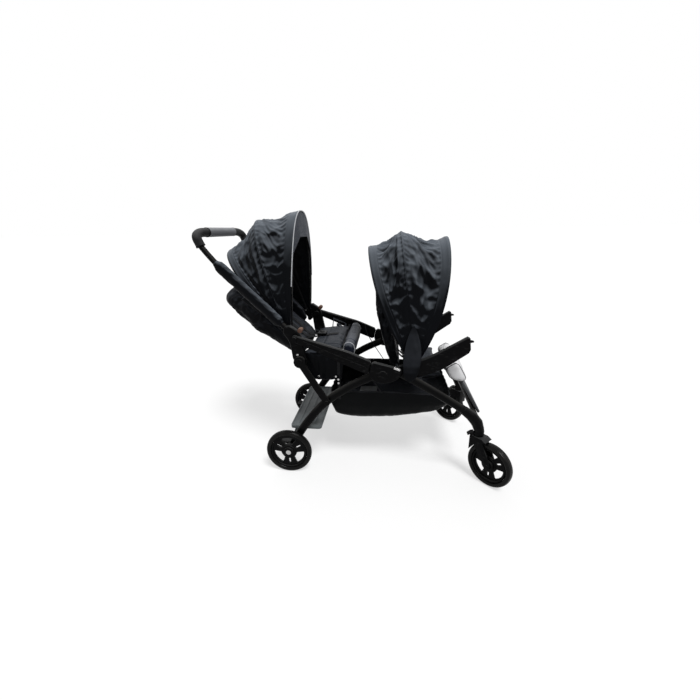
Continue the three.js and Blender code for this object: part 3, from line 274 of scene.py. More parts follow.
tyre_rubber, bright_steel = rubber(), steel()
# As with every moulding, the second colour is a painted top highlight shared with scuffs.
hub_plastic = moulding("hub_plastic", (0.0030, 0.0030, 0.0033), (0.020, 0.020, 0.020), 0.40)
brown_knob = moulding("brown_knob", (0.10, 0.055, 0.04), (0.20, 0.13, 0.10), 0.5)
print("made rubber, hub plastic, steel and the knob's plastic")

# %% [markdown]
# The platform is moulded in mid grey with a pebbled tread, and the hollows between the pebbles are
# darker, more in some patches than others. The footrest panel is a darker grey of the same kind.
# Grip foam has tiny open pores and a painted paler top, and its middle is a pale grey sleeve.

# %% Platform, footrest and grip
def pebbled(name, color, hollow_colour, size, depth):
    finish = Finish(name, color, 0.6, Specular_IOR_Level=0.35)
    place = finish.node("ShaderNodeTexCoord", output="Object")
    sockets = {"Vector": place, "Scale": 1 / size}
    pebbles = finish.node("ShaderNodeTexVoronoi", {"feature": "SMOOTH_F1"}, sockets)
    wear = spots(finish, 0.05, 6)
    # The hollows between the pebbles are darker, in patches.
    tint(finish, pebbles * wear, hollow_colour)
    shine(finish, wear, 0.2)
    return finish.feed("Normal", relief(finish, 1 - pebbles, depth))

def foam():
    finish = Finish("grip_foam", (0.0060, 0.0060, 0.0065), 0.72, Specular_IOR_Level=0.15)
    pores = spots(finish, 0.0012, 2)
    # Painted highlight: the foam's up-facing side is painted paler grey.
    tint(finish, painted_light_and_dust(finish, 0.03), (0.060, 0.060, 0.062))
    shine(finish, pores, 0.15)
    return finish.feed("Normal", relief(finish, pores, 0.0004))

deck_grey = pebbled("platform_grey", (0.098, 0.110, 0.114), (0.060, 0.066, 0.067), 0.004, 0.0004)
panel_grey = pebbled("footrest_grey", (0.030, 0.032, 0.035), (0.018, 0.019, 0.020), 0.003, 0.0003)
board_grey = pebbled("board_grey", (0.16, 0.165, 0.17), (0.11, 0.11, 0.115), 0.006, 0.0002)
grip_foam = foam()
pale_sleeve = moulding("pale_grip_sleeve", (0.150, 0.154, 0.166), (0.300, 0.307, 0.322), 0.5)
print("made platform, footrest, board, foam and sleeve finishes")

# %% [markdown]
# Woven cloth is two sets of threads that pass over and under each other. Two wave textures at
# right angles give the threads, and a ridged noise gives the sharp little creases that nylon
# keeps. The weave follows the piece's own UV map, or the object where a piece has none. A wave
# texture of scale 1 repeats every 0.314 m, so that number turns a pitch into a scale.

# %% Woven cloth
wave_pitch = 0.314

def woven(name, color, top_light_and_rib_tone, thread=0.0011, follows="UV", creases=0.0016):
    finish = Finish(name, color, 0.42, Specular_IOR_Level=0.05)
    if follows == "UV":
        place, turn = finish.node("ShaderNodeUVMap", {"uv_map": "threads"}), "XY"
    else:
        place, turn = finish.node("ShaderNodeTexCoord", output="Object"), "YZ"
        place = finish.node("ShaderNodeMapping", {}, {"Vector": place, "Rotation": (0, 0.4, 0)})
    sockets = {"Vector": place, "Scale": wave_pitch / thread}
    sets = [finish.node("ShaderNodeTexWave", {"bands_direction": way}, sockets, 1) for way in turn]
    weave = sets[0].math("MAXIMUM", *sets)
    # Painted highlight: up-facing cloth is painted in the paler second colour, with patches of dust.
    tint(finish, painted_light_and_dust(finish, 0.10), top_light_and_rib_tone)
    shine(finish, spots(finish, 0.05, 3), 0.14)
    folds = relief(finish, spots(finish, 0.11, 4, kind="RIDGED_MULTIFRACTAL"), creases)
    return finish.feed("Normal", relief(finish, weave, 0.00012, folds))

# Each cloth's second colour is its painted top highlight.
canopy_nylon = woven("canopy_nylon", (0.0010, 0.0014, 0.0023), (0.130, 0.147, 0.170), creases=0.0036)
lining = woven("brim_lining", (0.015, 0.020, 0.032), (0.042, 0.052, 0.072), creases=0.0006)
seat_cloth = woven("seat_cloth", (0.0011, 0.0014, 0.0022), (0.034, 0.038, 0.046), 0.0014, "OBJECT", 0.0030)
pale_cloth = woven("pale_seat_cloth", (0.66, 0.66, 0.67), (0.80, 0.80, 0.81), 0.0016, "OBJECT", 0.0014)
navy_cloth = woven("navy_side_cloth", (0.010, 0.012, 0.020), (0.085, 0.092, 0.108), 0.0014, "OBJECT")
basket_cloth = woven("basket_cloth", (0.0013, 0.0016, 0.0020), (0.026, 0.028, 0.033), creases=0.0032)
print("made six woven cloths")

# %% [markdown]
# Narrow goods finish the edges of the cloth. Webbing is ribbed across its length, binding tape
# is tight and dark, and the piping round the brim is pale grey.

# %% Webbing, binding and piping
def ribbed(name, color, top_light_and_rib_tone, pitch, rough=0.7):
    finish = Finish(name, color, rough, Specular_IOR_Level=0.12)
    place = finish.node("ShaderNodeTexCoord", output="Object")
    sockets = {"Vector": place, "Scale": wave_pitch / pitch}
    ribs = finish.node("ShaderNodeTexWave", {"bands_direction": "DIAGONAL"}, sockets, 1)
    tint(finish, ribs * spots(finish, 0.02, 4), top_light_and_rib_tone)
    shine(finish, ribs, 0.1)
    return finish.feed("Normal", relief(finish, ribs, 0.00025))

webbing = ribbed("black_webbing", (0.006, 0.006, 0.007), (0.026, 0.027, 0.030), 0.0016)
binding = ribbed("binding_tape", (0.006, 0.006, 0.0075), (0.024, 0.025, 0.028), 0.0009)
piping = ribbed("pale_piping", (0.40, 0.41, 0.43), (0.55, 0.56, 0.58), 0.0012, 0.55)
print("made webbing, binding and piping")

# %% [markdown]
# The studio is a white floor that keeps the soft shadow of the stroller, and a white world that
# the camera, gloss and glass see at full strength while it lights the cloth more gently. One
# wide, high lamp from the camera's side shows the folds, and a weaker one fills from behind.

# %% Studio
def seen_straight(shading):
    camera_ray, glossy, through = (shading.node("ShaderNodeLightPath", output=f"Is {kind} Ray")
                                   for kind in ("Camera", "Glossy", "Transmission"))
    return glossy.math("MAXIMUM", glossy.math("MAXIMUM", camera_ray, glossy), through)

bpy.ops.mesh.primitive_plane_add(size=400)
floor = named(bpy.context.object, "studio_floor")
paper = Finish("white_paper", (0.95, 0.95, 0.95), 0.9, Specular_IOR_Level=0.0, Emission_Color=(1, 1, 1, 1))
straight = seen_straight(paper)
paper.feed("Base Color", mixed(paper, straight, (0.55, 0.55, 0.55), (0.42, 0.42, 0.42)))
paper.feed("Emission Strength", straight * 0.58)
floor.data.materials.append(paper.material)

world = bpy.data.worlds.new("studio")
world.use_nodes = True
bpy.context.scene.world = world
white = world.node_tree.nodes["Background"]
white.inputs["Color"].default_value = (1, 1, 1, 1)
strength = seen_straight(Shading(world.node_tree)) * 0.62 + 0.38
world.node_tree.links.new(strength.output, white.inputs["Strength"])

def lamp(name, toward, strength, spread):
    bpy.ops.object.light_add(type="SUN")
    made = named(bpy.context.object, name)
    made.rotation_euler = Vector(toward).to_track_quat("Z", "Y").to_euler()
    made.data.energy, made.data.angle = strength, math.radians(spread)

lamp("high_lamp", (0.30, -0.42, 0.86), 2.35, 18)
lamp("fill_lamp", (-0.6, 0.5, 0.65), 0.40, 60)
print("studio is lit")

# %% [markdown]
# Every finished piece goes through the same last steps: a name, its finish, smooth shading with
# crisp edges where the angle is large, the body it moves with, and the model part it stands for.
# `on_all` runs mesh operators on the whole of a piece, and `closed` merges its double points and
# turns its faces outward.

# %% Finishing a piece
def finished(piece, name, finish, body, stands_for=(), angle=35):
    named(piece, name)
    piece.data.materials.clear()
    piece.data.materials.append(finish.material)
    pick(piece)
    bpy.ops.object.shade_smooth_by_angle(angle=math.radians(angle))
    if body:
        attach(piece, body)
    if stands_for:
        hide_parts(*stands_for)
    return piece

def apply(piece, kind, **settings):
    pick(piece)
    modifier = piece.modifiers.new("step", kind)
    for key, value in settings.items():
        setattr(modifier, key, value)
    bpy.ops.object.modifier_apply(modifier="step")
    return piece

def soften(piece, width=0.0012, segments=3, angle=25):
    return apply(piece, "BEVEL", width=width, segments=segments, limit_method="ANGLE",
                 angle_limit=math.radians(angle))

def joined(*pieces):
    pick(*pieces)
    bpy.ops.object.join()
    return bpy.context.object

def place_mesh(piece):
    pick(piece)
    bpy.ops.object.transform_apply(location=True, rotation=True, scale=True)
    return piece

def on_all(piece, *steps):
    pick(piece)
    bpy.ops.object.mode_set(mode="EDIT")
    bpy.ops.mesh.select_all(action="SELECT")
    for operator, settings in steps:
        operator(**settings)
    bpy.ops.object.mode_set(mode="OBJECT")
    return piece

def closed(piece, gap=0.00002):
    return on_all(piece, (bpy.ops.mesh.remove_doubles, {"threshold": gap}),
                  (bpy.ops.mesh.normals_make_consistent, {"inside": False}))

print("finishing steps are ready")

# %% [markdown]
# The mouldings already have their true outline in the model, but their edges are hard. A copy is
# merged, its flat faces are dissolved into single ones, and a bevel rounds every edge, because
# a real moulding shows a thin line of light there. The copy then stands for the model's part.

# %% Rounded mouldings
def rounded(node, finish, width, segments=3):
    source = nodes[node]
    piece = added(source.data.copy(), node + "_shape")
    on_all(piece, (bpy.ops.mesh.customdata_custom_splitnormals_clear, {}),
           (bpy.ops.mesh.remove_doubles, {"threshold": 0.00002}),
           (bpy.ops.mesh.dissolve_limited, {"angle_limit": math.radians(1)}))
    soften(piece, width, segments)
    return finished(piece, node + "_shape", finish, source["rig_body"], [node])

mouldings = {"rail": 0.0016, "junction": 0.0016, "front_arm": 0.0014, "hinge_block": 0.0018,
             "caster_fork": 0.0012, "brake_pedal": 0.0010, "swivel_lock": 0.0010}
for word, side in sides:
    for part, width in mouldings.items():
        rounded(f"{part}_{word}", nylon, width)
    rounded(f"strut_{word}", coat, 0.0012)
rounded("footrest", panel_grey, 0.0015)
rounded("standing_platform", deck_grey, 0.0010)
rounded("basket_board", board_grey, 0.0008)
print("rounded", 2 * len(mouldings) + 5, "mouldings")

# %% [markdown]
# The elbow above each front wheel is one flowing casting. Its model is made of flat facets, so a
# voxel remesh gives it an even skin, and a smoothing pass lets that skin flow.

# %% Elbows
for word, side in sides:
    node = f"front_elbow_{word}"
    elbow = closed(added(nodes[node].data.copy(), node))
    apply(elbow, "REMESH", mode="VOXEL", voxel_size=0.0018)
    apply(elbow, "SMOOTH", factor=0.5, iterations=10)
    finished(elbow, node + "_shape", nylon, "frame", [node], 60)
    print(node, len(elbow.data.polygons), "faces")

# %% [markdown]
# A bent tube is a curve through the middle of its bends, with a round bevel swept along it. An
# oval leg is the same tube, drawn narrower from side to side after it has become a mesh. The
# lines and discs below are in millimetres: places in the side view, then distances from the
# stroller's middle plane. The limbs stand in one plane on each side, and the rails in another.

# %% Tubes and legs
def tube(points, radius, narrow=1.0, steps=10, corners=8):
    bpy.ops.curve.primitive_nurbs_path_add(location=(0, 0, 0))
    piece = bpy.context.object
    line = piece.data
    line.splines.clear()
    spline = line.splines.new("BEZIER")
    spline.bezier_points.add(len(points) - 1)
    for knot, point in zip(spline.bezier_points, points):
        knot.co = point
        knot.handle_left_type = knot.handle_right_type = "AUTO"
    line.dimensions = "3D"
    line.resolution_u = steps
    line.bevel_depth, line.bevel_resolution, line.use_fill_caps = radius, corners, True
    pick(piece)
    bpy.ops.object.convert(target="MESH")
    closed(piece)
    if narrow != 1.0:
        squeeze = {"value": (1, narrow, 1), "center_override": (0, points[0][1], 0)}
        on_all(piece, (bpy.ops.transform.resize, squeeze))
    return piece

def side_view(points, plane):
    return [(x / 1000, plane, z / 1000) for x, z in points]

def disc(x, z, radius, low, high, edge=0.0012, corners=48):
    bpy.ops.mesh.primitive_cylinder_add(
        vertices=corners, radius=radius / 1000, depth=abs(high - low) / 1000,
        location=(x / 1000, (low + high) / 2000, z / 1000), rotation=(math.pi / 2, 0, 0))
    return soften(place_mesh(bpy.context.object), edge, 3, 40)

limb_plane, rail_plane = 0.219, 0.240
rear_leg_line = [(103, 475), (60, 457), (-30, 410), (-137, 332), (-215, 242), (-262, 172), (-305, 101)]
front_leg_line = [(177.4, 479.4), (232, 450), (325, 395), (426, 331)]
handle_line = [(-288.2, 660.8), (-400, 770), (-517, 886), (-556, 931), (-587, 971)]
for word, side in sides:
    limb = tube(side_view(rear_leg_line, side * limb_plane), 0.018, 11 / 18)
    eye = disc(103, 475, 22, side * 208, side * 230)
    boss = disc(-128, 342, 12, side * 208, side * 230.7)
    foot = disc(-305, 101, 15.5, side * 208, side * 230)
    leg = tube(side_view(front_leg_line, side * rail_plane), 0.0165, 10 / 16.5)
    bar = tube(side_view(handle_line, side * limb_plane), 0.011)
    for name, piece, body in (("rear_leg", joined(limb, eye, boss, foot), "rear_legs"),
                              ("front_leg", leg, "frame"), ("handle_tube", bar, "handle")):
        finished(piece, f"{name}_{word}_shape", coat, body, [f"{name}_{word}"])
low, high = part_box("front_cross_tube")
middle = (low + high) / 2
cross = tube([(middle.x, y, middle.z) for y in (low.y, 0, high.y)], 0.010)
finished(cross, "front_cross_tube_shape", coat, "frame", ["front_cross_tube"])
print("swept the legs, handle tubes and cross tube")

# %% [markdown]
# The push bar is wrapped in foam round both corners, and a pale sleeve covers its middle. Two
# thin collars close the foam where it meets the bare tube. Each end of the bar rises in line
# with the handle tube and then turns inward on a quarter of an ellipse.

# %% Push bar
bar_corner, bar_start = Vector((-0.607, 0, 1.022)), Vector((-0.5874, 0, 0.9715))
bend, turn_in = bar_start.lerp(bar_corner, 0.55), 0.070

def grip_half(side):
    half = [(p.x, side * limb_plane, p.z) for p in (bar_start, bar_start.lerp(bend, 0.5), bend)]
    way, rise = (bar_corner - bend).normalized(), (bar_corner - bend).length
    for share in (0.25, 0.5, 0.75, 1):
        turn = share * math.pi / 2
        p = bend + way * rise * math.sin(turn)
        half.append((p.x, side * (limb_plane - turn_in * (1 - math.cos(turn))), p.z))
    return half

grip_line = grip_half(1) + grip_half(-1)[::-1]
grip = tube(grip_line, 0.0172, steps=12, corners=10)
finished(grip, "handle_grip_foam", grip_foam, "handle", ["handle_grip"])
bar = Vector(grip_half(1)[-1])
wrap = tube([(bar.x, y, bar.z) for y in (0.122, 0.06, 0, -0.06, -0.122)], 0.0186, corners=10)
finished(wrap, "handle_grip_sleeve", pale_sleeve, "handle")
for word, side in sides:
    ring = tube([(bar.x, side * y, bar.z) for y in (0.1215, 0.1265)], 0.0190, corners=10)
    foot = [(p.x, side * limb_plane, p.z) for p in (bar_start, bar_start.lerp(bend, 0.12))]
    low_ring = tube(foot, 0.0182, corners=10)
    collars = joined(soften(ring, 0.0008), soften(low_ring, 0.0008))
    finished(collars, f"handle_grip_collars_{word}", nylon, "handle")
print("the grip runs through", len(grip_line), "points")

# %% [markdown]
# A tyre is a ring with the same section all round. A circle is added, its points are moved into
# the tyre's section with two shallow grooves, and the spin operator carries it once round the
# axle. The rim and the boss of the wheel are spun in the same way.

# %% Spun rings
tyre_depth, rim_depth, boss_radius = 0.021, 0.007, 0.023

def spun(section, steps=72):
    bpy.ops.mesh.primitive_circle_add(vertices=len(section), radius=1, fill_type="NOTHING")
    piece = bpy.context.object
    for vertex, (radius, across) in zip(piece.data.vertices, section):
        vertex.co = (radius, across, 0)
    once_round = {"steps": steps, "angle": 2 * math.pi, "center": (0, 0, 0), "axis": (0, 1, 0)}
    return closed(on_all(piece, (bpy.ops.mesh.spin, once_round)))

def tyre_section(radius, width, count=48):
    section = []
    for k in range(count):
        turn = 2 * math.pi * k / count
        out, across = math.cos(turn), math.sin(turn)
        out = math.copysign(abs(out) ** 0.75, out)
        across = math.copysign(abs(across) ** 0.8, across)
        groove = 0.0011 if out > 0.6 and 0.28 < abs(across) < 0.42 else 0
        section.append((radius - tyre_depth / 2 + out * tyre_depth / 2 - groove, across * width / 2))
    return section

def ring_section(inner, outer, half, lip):
    return [(inner, -half + lip), (inner + lip, -half), (outer - lip, -half), (outer, -half + lip),
            (outer, half - lip), (outer - lip, half), (inner + lip, half), (inner, half - lip)]

print("a tyre has", 48 * 72, "faces")

# %% [markdown]
# The face of each wheel is a plate with three wide windows and a slot in each spoke. It is drawn
# as flat curves: the outer circle first, and every curve inside it becomes a hole. The curve is
# given a thickness with a small bevel, and turned so that its axle points along Y.

# %% Wheel face
def arc(radius, start, end, count):
    turns = [start + (end - start) * k / count for k in range(count + 1)]
    return [(radius * math.cos(turn), radius * math.sin(turn)) for turn in turns]

def rounded_line(points, ease, steps=4):
    line = []
    for i, point in enumerate(points):
        here, before, after = (Vector(p) for p in (point, points[i - 1], points[(i + 1) % len(points)]))
        into, away = before - here, after - here
        if into.angle(away) > math.radians(150):
            line.append(tuple(here))
            continue
        reach = min(ease, into.length * 0.9, away.length * 0.9)
        a, b = here + into.normalized() * reach, here + away.normalized() * reach
        line += [tuple(a.lerp(here, k / steps).lerp(here.lerp(b, k / steps), k / steps))
                 for k in range(steps + 1)]
    return line

def cut_plate(outlines, half, bevel=0.0012):
    bpy.ops.curve.primitive_bezier_circle_add(radius=0.1, location=(0, 0, 0))
    piece = bpy.context.object
    line = piece.data
    line.splines.clear()
    for outline in outlines:
        spline = line.splines.new("POLY")
        spline.points.add(len(outline) - 1)
        for knot, (x, y) in zip(spline.points, outline):
            knot.co = (x, y, 0, 1)
        spline.use_cyclic_u = True
    line.dimensions, line.fill_mode = "2D", "BOTH"
    line.extrude, line.bevel_depth, line.bevel_resolution, line.offset = half - bevel, bevel, 2, -bevel
    pick(piece)
    bpy.ops.object.convert(target="MESH")
    upright = {"value": math.pi / 2, "orient_axis": "X", "center_override": (0, 0, 0)}
    return on_all(closed(piece), (bpy.ops.transform.rotate, upright))

def wheel_face(radius):
    edge = radius - tyre_depth - rim_depth
    ease = (edge - boss_radius) * 0.12
    inner, outer = boss_radius + 2 * ease, edge - ease
    spread, third = math.radians(31), 2 * math.pi / 3
    outlines = [arc(edge + rim_depth / 2, 0, 2 * math.pi, 96)[:-1]]
    for spoke in range(3):
        middle = math.pi / 2 + third * (spoke + 0.5)
        window = (arc(outer, middle - spread, middle + spread, 14)
                  + arc(inner, middle + spread * 0.80, middle - spread * 0.80, 14))
        ray = math.pi / 2 + third * spoke
        along = Vector((math.cos(ray), math.sin(ray)))
        across = Vector((-math.sin(ray), math.cos(ray))) * 0.0045
        near, far = along * inner, along * (edge - 2 * ease)
        slot = (near + across, near - across, far - across, far + across)
        outlines += [rounded_line(line, 0.004) for line in (window, slot)]
    face = cut_plate(outlines, 0.006)
    for vertex in face.data.vertices:
        reach = math.hypot(vertex.co.x, vertex.co.z)
        vertex.co.y *= 1.25 - 0.45 * min(reach / edge, 1)
    return face

print("a wheel face has three windows and three slots")

# %% [markdown]
# A wheel is put together at the origin and then turned and moved inside its mesh, because the
# object itself has to stay at the origin. The rear wheels run on one axle. The front ones stand
# turned by 45 degrees, one to each side, as their casters do.

# %% Wheels
rear_radius, front_radius, axle_radius = 0.101, 0.095, 0.0074
cap_section = [(0, 0), (0.011, 0), (0.011, 0.0014), (0.0085, 0.0030), (0.0045, 0.0036), (0, 0.0037)]
front_spots = {1: (0.45916, 0.26384, front_radius), -1: (0.54684, -0.26384, front_radius)}

def settle(piece, turn, centre):
    piece.data.transform(Matrix.Translation(centre) @ Matrix.Rotation(turn, 4, "Z"))
    return piece

def wheel(name, radius, width, turn, centre, outer_side, cap_finish):
    tyre = settle(spun(tyre_section(radius, width)), turn, centre)
    finished(tyre, name + "_tyre_shape", tyre_rubber, name, [name + "_tyre"], 40)
    inner = radius - 0.0213 - rim_depth
    core = joined(wheel_face(radius),
                  spun(ring_section(inner, radius - 0.0212, width * 0.36, 0.0015), 96),
                  spun(ring_section(axle_radius, boss_radius, width / 2 + 0.001, 0.002), 48),
                  spun(ring_section(axle_radius, 0.031, 0.0085, 0.0015), 48))
    settle(core, turn, centre)
    finished(core, name + "_hub_shape", hub_plastic, name, [name + "_hub"], 40)
    cap = spun(cap_section, 32)
    lift = Matrix.Translation((0, outer_side * (width / 2 + 0.001), 0))
    cap.data.transform(lift @ Matrix.Scale(outer_side, 4, (0, 1, 0)))
    settle(closed(cap), turn, centre)
    finished(cap, name + "_cap", cap_finish, name, (), 40)

for word, side in sides:
    rear_spot = Vector((-0.305, side * 0.2465, rear_radius))
    wheel(f"rear_wheel_{word}", rear_radius, 0.027, 0, rear_spot, side, bright_steel)
    wheel(f"front_wheel_{word}", front_radius, 0.034, math.radians(45 + 90 * side), Vector(front_spots[side]),
          1, nylon)
print("four wheels stand at", [round(2 * r, 3) for r in (rear_radius, front_radius)], "m across")

# %% [markdown]
# Each canopy stands on three bows that turn on one pivot, and the cloth is sewn round them. Its
# shape is a set of arches: an angle says which way an arch leans, a reach says how high it
# stands, and it is wide at the foot and narrow at the top. The reach changes from bow to bow,
# because the cloth is drawn in where nothing holds it up. It is given at eleven places, and the
# middle bow, where the line may have a corner, is the sixth of them.

# %% Canopy arches
canopies = {
    "rear": {"pivot": (-0.276, 0.60005), "bows": (130, 108.25, 86.5), "half": 0.198, "spread": 0.1,
             "reach": (0.411, 0.409, 0.409, 0.411, 0.429, 0.448, 0.442, 0.431, 0.436, 0.449, 0.4536)},
    "front": {"pivot": (0.229, 0.49203), "bows": (113, 96.9, 76.2), "half": 0.200, "spread": 0.95,
              "reach": (0.456, 0.451, 0.4455, 0.451, 0.4655, 0.477, 0.462, 0.4435, 0.4345, 0.4455, 0.466)},
}
middle_place, foot_reach, stretch, squareness = 5, 0.044, 1.1, 0.8

def eased(values, at):
    k = min(int(at), len(values) - 2)
    a, b = values[k], values[k + 1]
    before = values[k - 1] if k and k != middle_place else 2 * a - b
    after = values[k + 2] if k + 2 < len(values) and k + 1 != middle_place else 2 * b - a
    t = at - k
    return 0.5 * (2 * a + (b - before) * t + (2 * before - 5 * a + 4 * b - after) * t * t
                  + (3 * a - before - 3 * b + after) * t ** 3)

def arch(shape, along, across, out=0.0):
    rear_bow, middle_bow, front_bow = shape["bows"]
    if along < 0.5:
        angle = rear_bow + (middle_bow - rear_bow) * along / 0.5
    else:
        angle = middle_bow + (front_bow - middle_bow) * (along - 0.5) / 0.5
    reach = eased(shape["reach"], along * 10) * stretch
    start = math.asin((foot_reach / (shape["reach"][0] * stretch)) ** (1 / squareness))
    turn = start + (math.pi - 2 * start) * across
    wide = math.copysign(abs(math.cos(turn)) ** squareness, math.cos(turn))
    up = math.sin(turn) ** squareness
    theta = math.radians(middle_bow + (angle - middle_bow) * (1 + shape["spread"] * (1 - up)))
    x, z = shape["pivot"]
    reach, half = (reach + out) * up, shape["half"] + out
    return Vector((x + math.cos(theta) * reach, half * wide, z + math.sin(theta) * reach))

print("the rear canopy tops out at", round(arch(canopies["rear"], 1, 0.5).z, 3), "m")

# %% [markdown]
# Cloth is laid out as a grid of points with a UV map measured in metres along its threads. The
# simulation then moves it: part of it is held by a vertex group, no point may leave its place by
# more than a cap, and the result is written back into the mesh, so no Cloth modifier stays.

# %% Cloth tools
def woven_sheet(name, places, uvs, held=None):
    """Makes a grid from rows of points, with the same rows of UV places and of held weights."""
    rows, columns = len(places), len(places[0])
    faces = [(r * columns + c, r * columns + c + 1, (r + 1) * columns + c + 1, (r + 1) * columns + c)
             for r in range(rows - 1) for c in range(columns - 1)]
    mesh = bpy.data.meshes.new(name)
    mesh.from_pydata([p for row in places for p in row], [], faces)
    flat_uvs = [uv for row in uvs for uv in row]
    layer = mesh.uv_layers.new(name="threads")
    for loop in mesh.loops:
        layer.data[loop.index].uv = flat_uvs[loop.vertex_index]
    piece = added(mesh, name)
    if held:
        hold(piece, [weight for row in held for weight in row])
    return piece

def hold(piece, weights):
    group = piece.vertex_groups.new(name="held")
    for index, weight in enumerate(weights):
        group.add([index], weight, "REPLACE")

def settle_cloth(piece, cap, frames, spare, pressure=0.0, gravity=0.3):
    start = np.array([v.co for v in piece.data.vertices])
    cloth = piece.modifiers.new("cloth", "CLOTH")
    settings = cloth.settings
    settings.quality, settings.mass, settings.air_damping = 6, 0.25, 2.0
    settings.tension_stiffness = settings.compression_stiffness = 20
    settings.bending_stiffness, settings.shrink_min = 0.3, -spare
    settings.effector_weights.gravity = gravity
    cloth.collision_settings.use_collision = False
    if "held" in piece.vertex_groups:
        settings.vertex_group_mass = "held"
    if pressure:
        settings.use_pressure, settings.uniform_pressure_force = True, pressure
    scene = bpy.context.scene
    scene.frame_start, scene.frame_end = 1, frames
    for step in range(1, frames + 1):
        scene.frame_set(step)
    made = piece.evaluated_get(bpy.context.evaluated_depsgraph_get()).data
    move = np.array([v.co for v in made.vertices]) - start
    size = np.linalg.norm(move, axis=1, keepdims=True) + 1e-9
    move *= cap * np.tanh(size / cap) / size
    piece.modifiers.remove(cloth)
    scene.frame_set(1)
    piece.data.vertices.foreach_set("co", (start + move).ravel())
    piece.data.update()
    furthest = float(np.linalg.norm(move, axis=1).max())
    print(piece.name, "settled by up to", round(furthest * 1000, 1), "mm")

def smooth_step(value, low, high):
    t = min(max((value - low) / (high - low), 0.0), 1.0)
    return t * t * (3 - 2 * t)

def cloth_area(piece):
    return sum(face.area for face in piece.data.polygons)

def thicken(piece, thickness, offset=0):
    """Gives a sheet its thickness, and returns the area that was cut for it."""
    area = cloth_area(piece)
    apply(piece, "SOLIDIFY", thickness=thickness, offset=offset, use_rim=True)
    return area

print("cloth tools are ready")

# %% [markdown]
# On the real canopy the cloth is drawn together at the highest point, and sharp folds run out
# from there like the rays of a fan. Long soft folds run down to the pivots, and short puckers
# stand beside every seam. All three start as numbers here: a ridged noise in polar coordinates
# round the top, one along the bows, and a sine wave that dies away from the seam.

# %% Folds of a canopy
fold_depths = {"rear": (0.013, 0.012, 0.0035), "front": (0.020, 0.009, 0.0048)}

def ridge(x, y, z):
    return 0.5 - 1.6 * abs(noise.noise((x, y, z)))

def canopy_folds(which, seed, from_middle, from_top, from_sleeve, width):
    fan, long, fine = fold_depths[which]
    radius, side = math.hypot(from_middle, from_top), math.copysign(7.0, from_top)
    angle = math.atan2(from_middle, abs(from_top))
    rays = (ridge(angle * 3.6 + side, radius * 6.0, seed)
            + 0.45 * ridge(angle * 8.0 - side, radius * 15, seed + 3))
    rays *= smooth_step(radius, 0.010, 0.08) * (1 - smooth_step(radius, 0.24, 0.48))
    down = ridge(from_middle / max(width, 0.02) * 1.7 + side, from_top * 2.2, seed + 5)
    down *= smooth_step(abs(from_top), 0.10, 0.30)
    small = ridge(from_middle * 26 + from_top * 8, from_top * 15, seed + 9)
    inner = smooth_step(from_middle, 0, 0.030) * smooth_step(from_sleeve, 0, 0.026)
    near_seam = math.exp(-min(from_sleeve, from_middle) / 0.020)
    pucker = math.sin(from_top / 0.0036 + 6 * noise.noise((from_top * 14, seed, 0))) * near_seam
    pucker *= 0.0009 * smooth_step(from_sleeve, 0, 0.004) * smooth_step(from_middle, 0, 0.004)
    return inner * (fan * rays + long * down + fine * small) + pucker

print("folds up to", fold_depths["front"][0] * 1000, "mm deep")

# %% [markdown]
# A panel is the cloth between the middle bow and an outer one. Its rows lie closer together at
# the outer bow, where a sleeve 33 mm wide is stitched round it and stands a little proud.

# %% Canopy panels
sleeve_rows = (0, 0.003, 0.006, 0.0085, 0.011, 0.014, 0.020, 0.026, 0.031, 0.0328, 0.0345, 0.038)
panel_columns, open_rows = 168, 36

def dent(distance, depth, width):
    return depth * math.exp(-(distance / width) ** 2)

def panel(name, which, first, last, seed):
    shape = canopies[which]
    tops = [arch(shape, first, c / panel_columns) for c in range(panel_columns + 1)]
    lengths = np.cumsum([0] + [(b - a).length for a, b in zip(tops, tops[1:])])
    places, uvs, held = [], [], []
    for c in range(panel_columns + 1):
        across = c / panel_columns
        width = (tops[c] - arch(shape, last, across)).length
        scale = min(1.0, width / 0.10)
        left = width - sleeve_rows[-1] * scale
        ways = [d * scale for d in sleeve_rows]
        ways += [sleeve_rows[-1] * scale + left * k / open_rows for k in range(1, open_rows + 1)]
        foot = smooth_step(min(across, 1 - across), 0.015, 0.10)
        from_top = lengths[c] - lengths[-1] / 2
        places.append([]), uvs.append([]), held.append([])
        for way in ways:
            d, share = way / scale, way / width
            sleeve = dent(d - 0.0085, 0.0018, 0.0045) - dent(d - 0.0328, 0.0014, 0.0016)
            seam = -dent(width - way - 0.007, 0.0014, 0.002)
            fold = canopy_folds(which, seed, width - way, from_top, max(d - 0.0345, 0), width)
            out = sleeve + seam + fold * foot
            places[-1].append(arch(shape, first + (last - first) * share, across, out))
            uvs[-1].append((lengths[c], way if first < last else -way))
            stitched = d <= 0.0346 or share > 0.97 or min(across, 1 - across) < 0.012
            held[-1].append(1.0 if stitched else 0.0)
    if first < last:
        places, uvs, held = places[::-1], uvs[::-1], held[::-1]
    return woven_sheet(name, places, uvs, held)

print("a panel has", (panel_columns + 1) * (len(sleeve_rows) + open_rows), "points")

# %% [markdown]
# A panel is not attached to any bow, so it stays where it is laid out. Thickness is added last, on
# the inside, so that the measured area stays the area of the cut cloth.

# %% Sew the canopies
def spoke(shape, bow, reach=0.25):
    x, z = shape["pivot"]
    return (x + reach * math.cos(math.radians(bow)), 0, z + reach * math.sin(math.radians(bow)))

def cloth_panel(which, part, first, last, seed, bows):
    name, shape = f"{which}_canopy_{part}_panel", canopies[which]
    piece = panel(name, which, first, last, seed)
    settle_cloth(piece, 0.006, frames=16, spare=0.02)
    area = thicken(piece, 0.0014, -1.0)
    closed(piece, 0.00001)
    finished(piece, name, canopy_nylon, None, [f"{which}_canopy"], 180)
    spoke(shape, bows[0])
    spoke(shape, bows[1])
    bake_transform(piece)
    line = [arch(shape, first, c / 60) for c in range(61)]

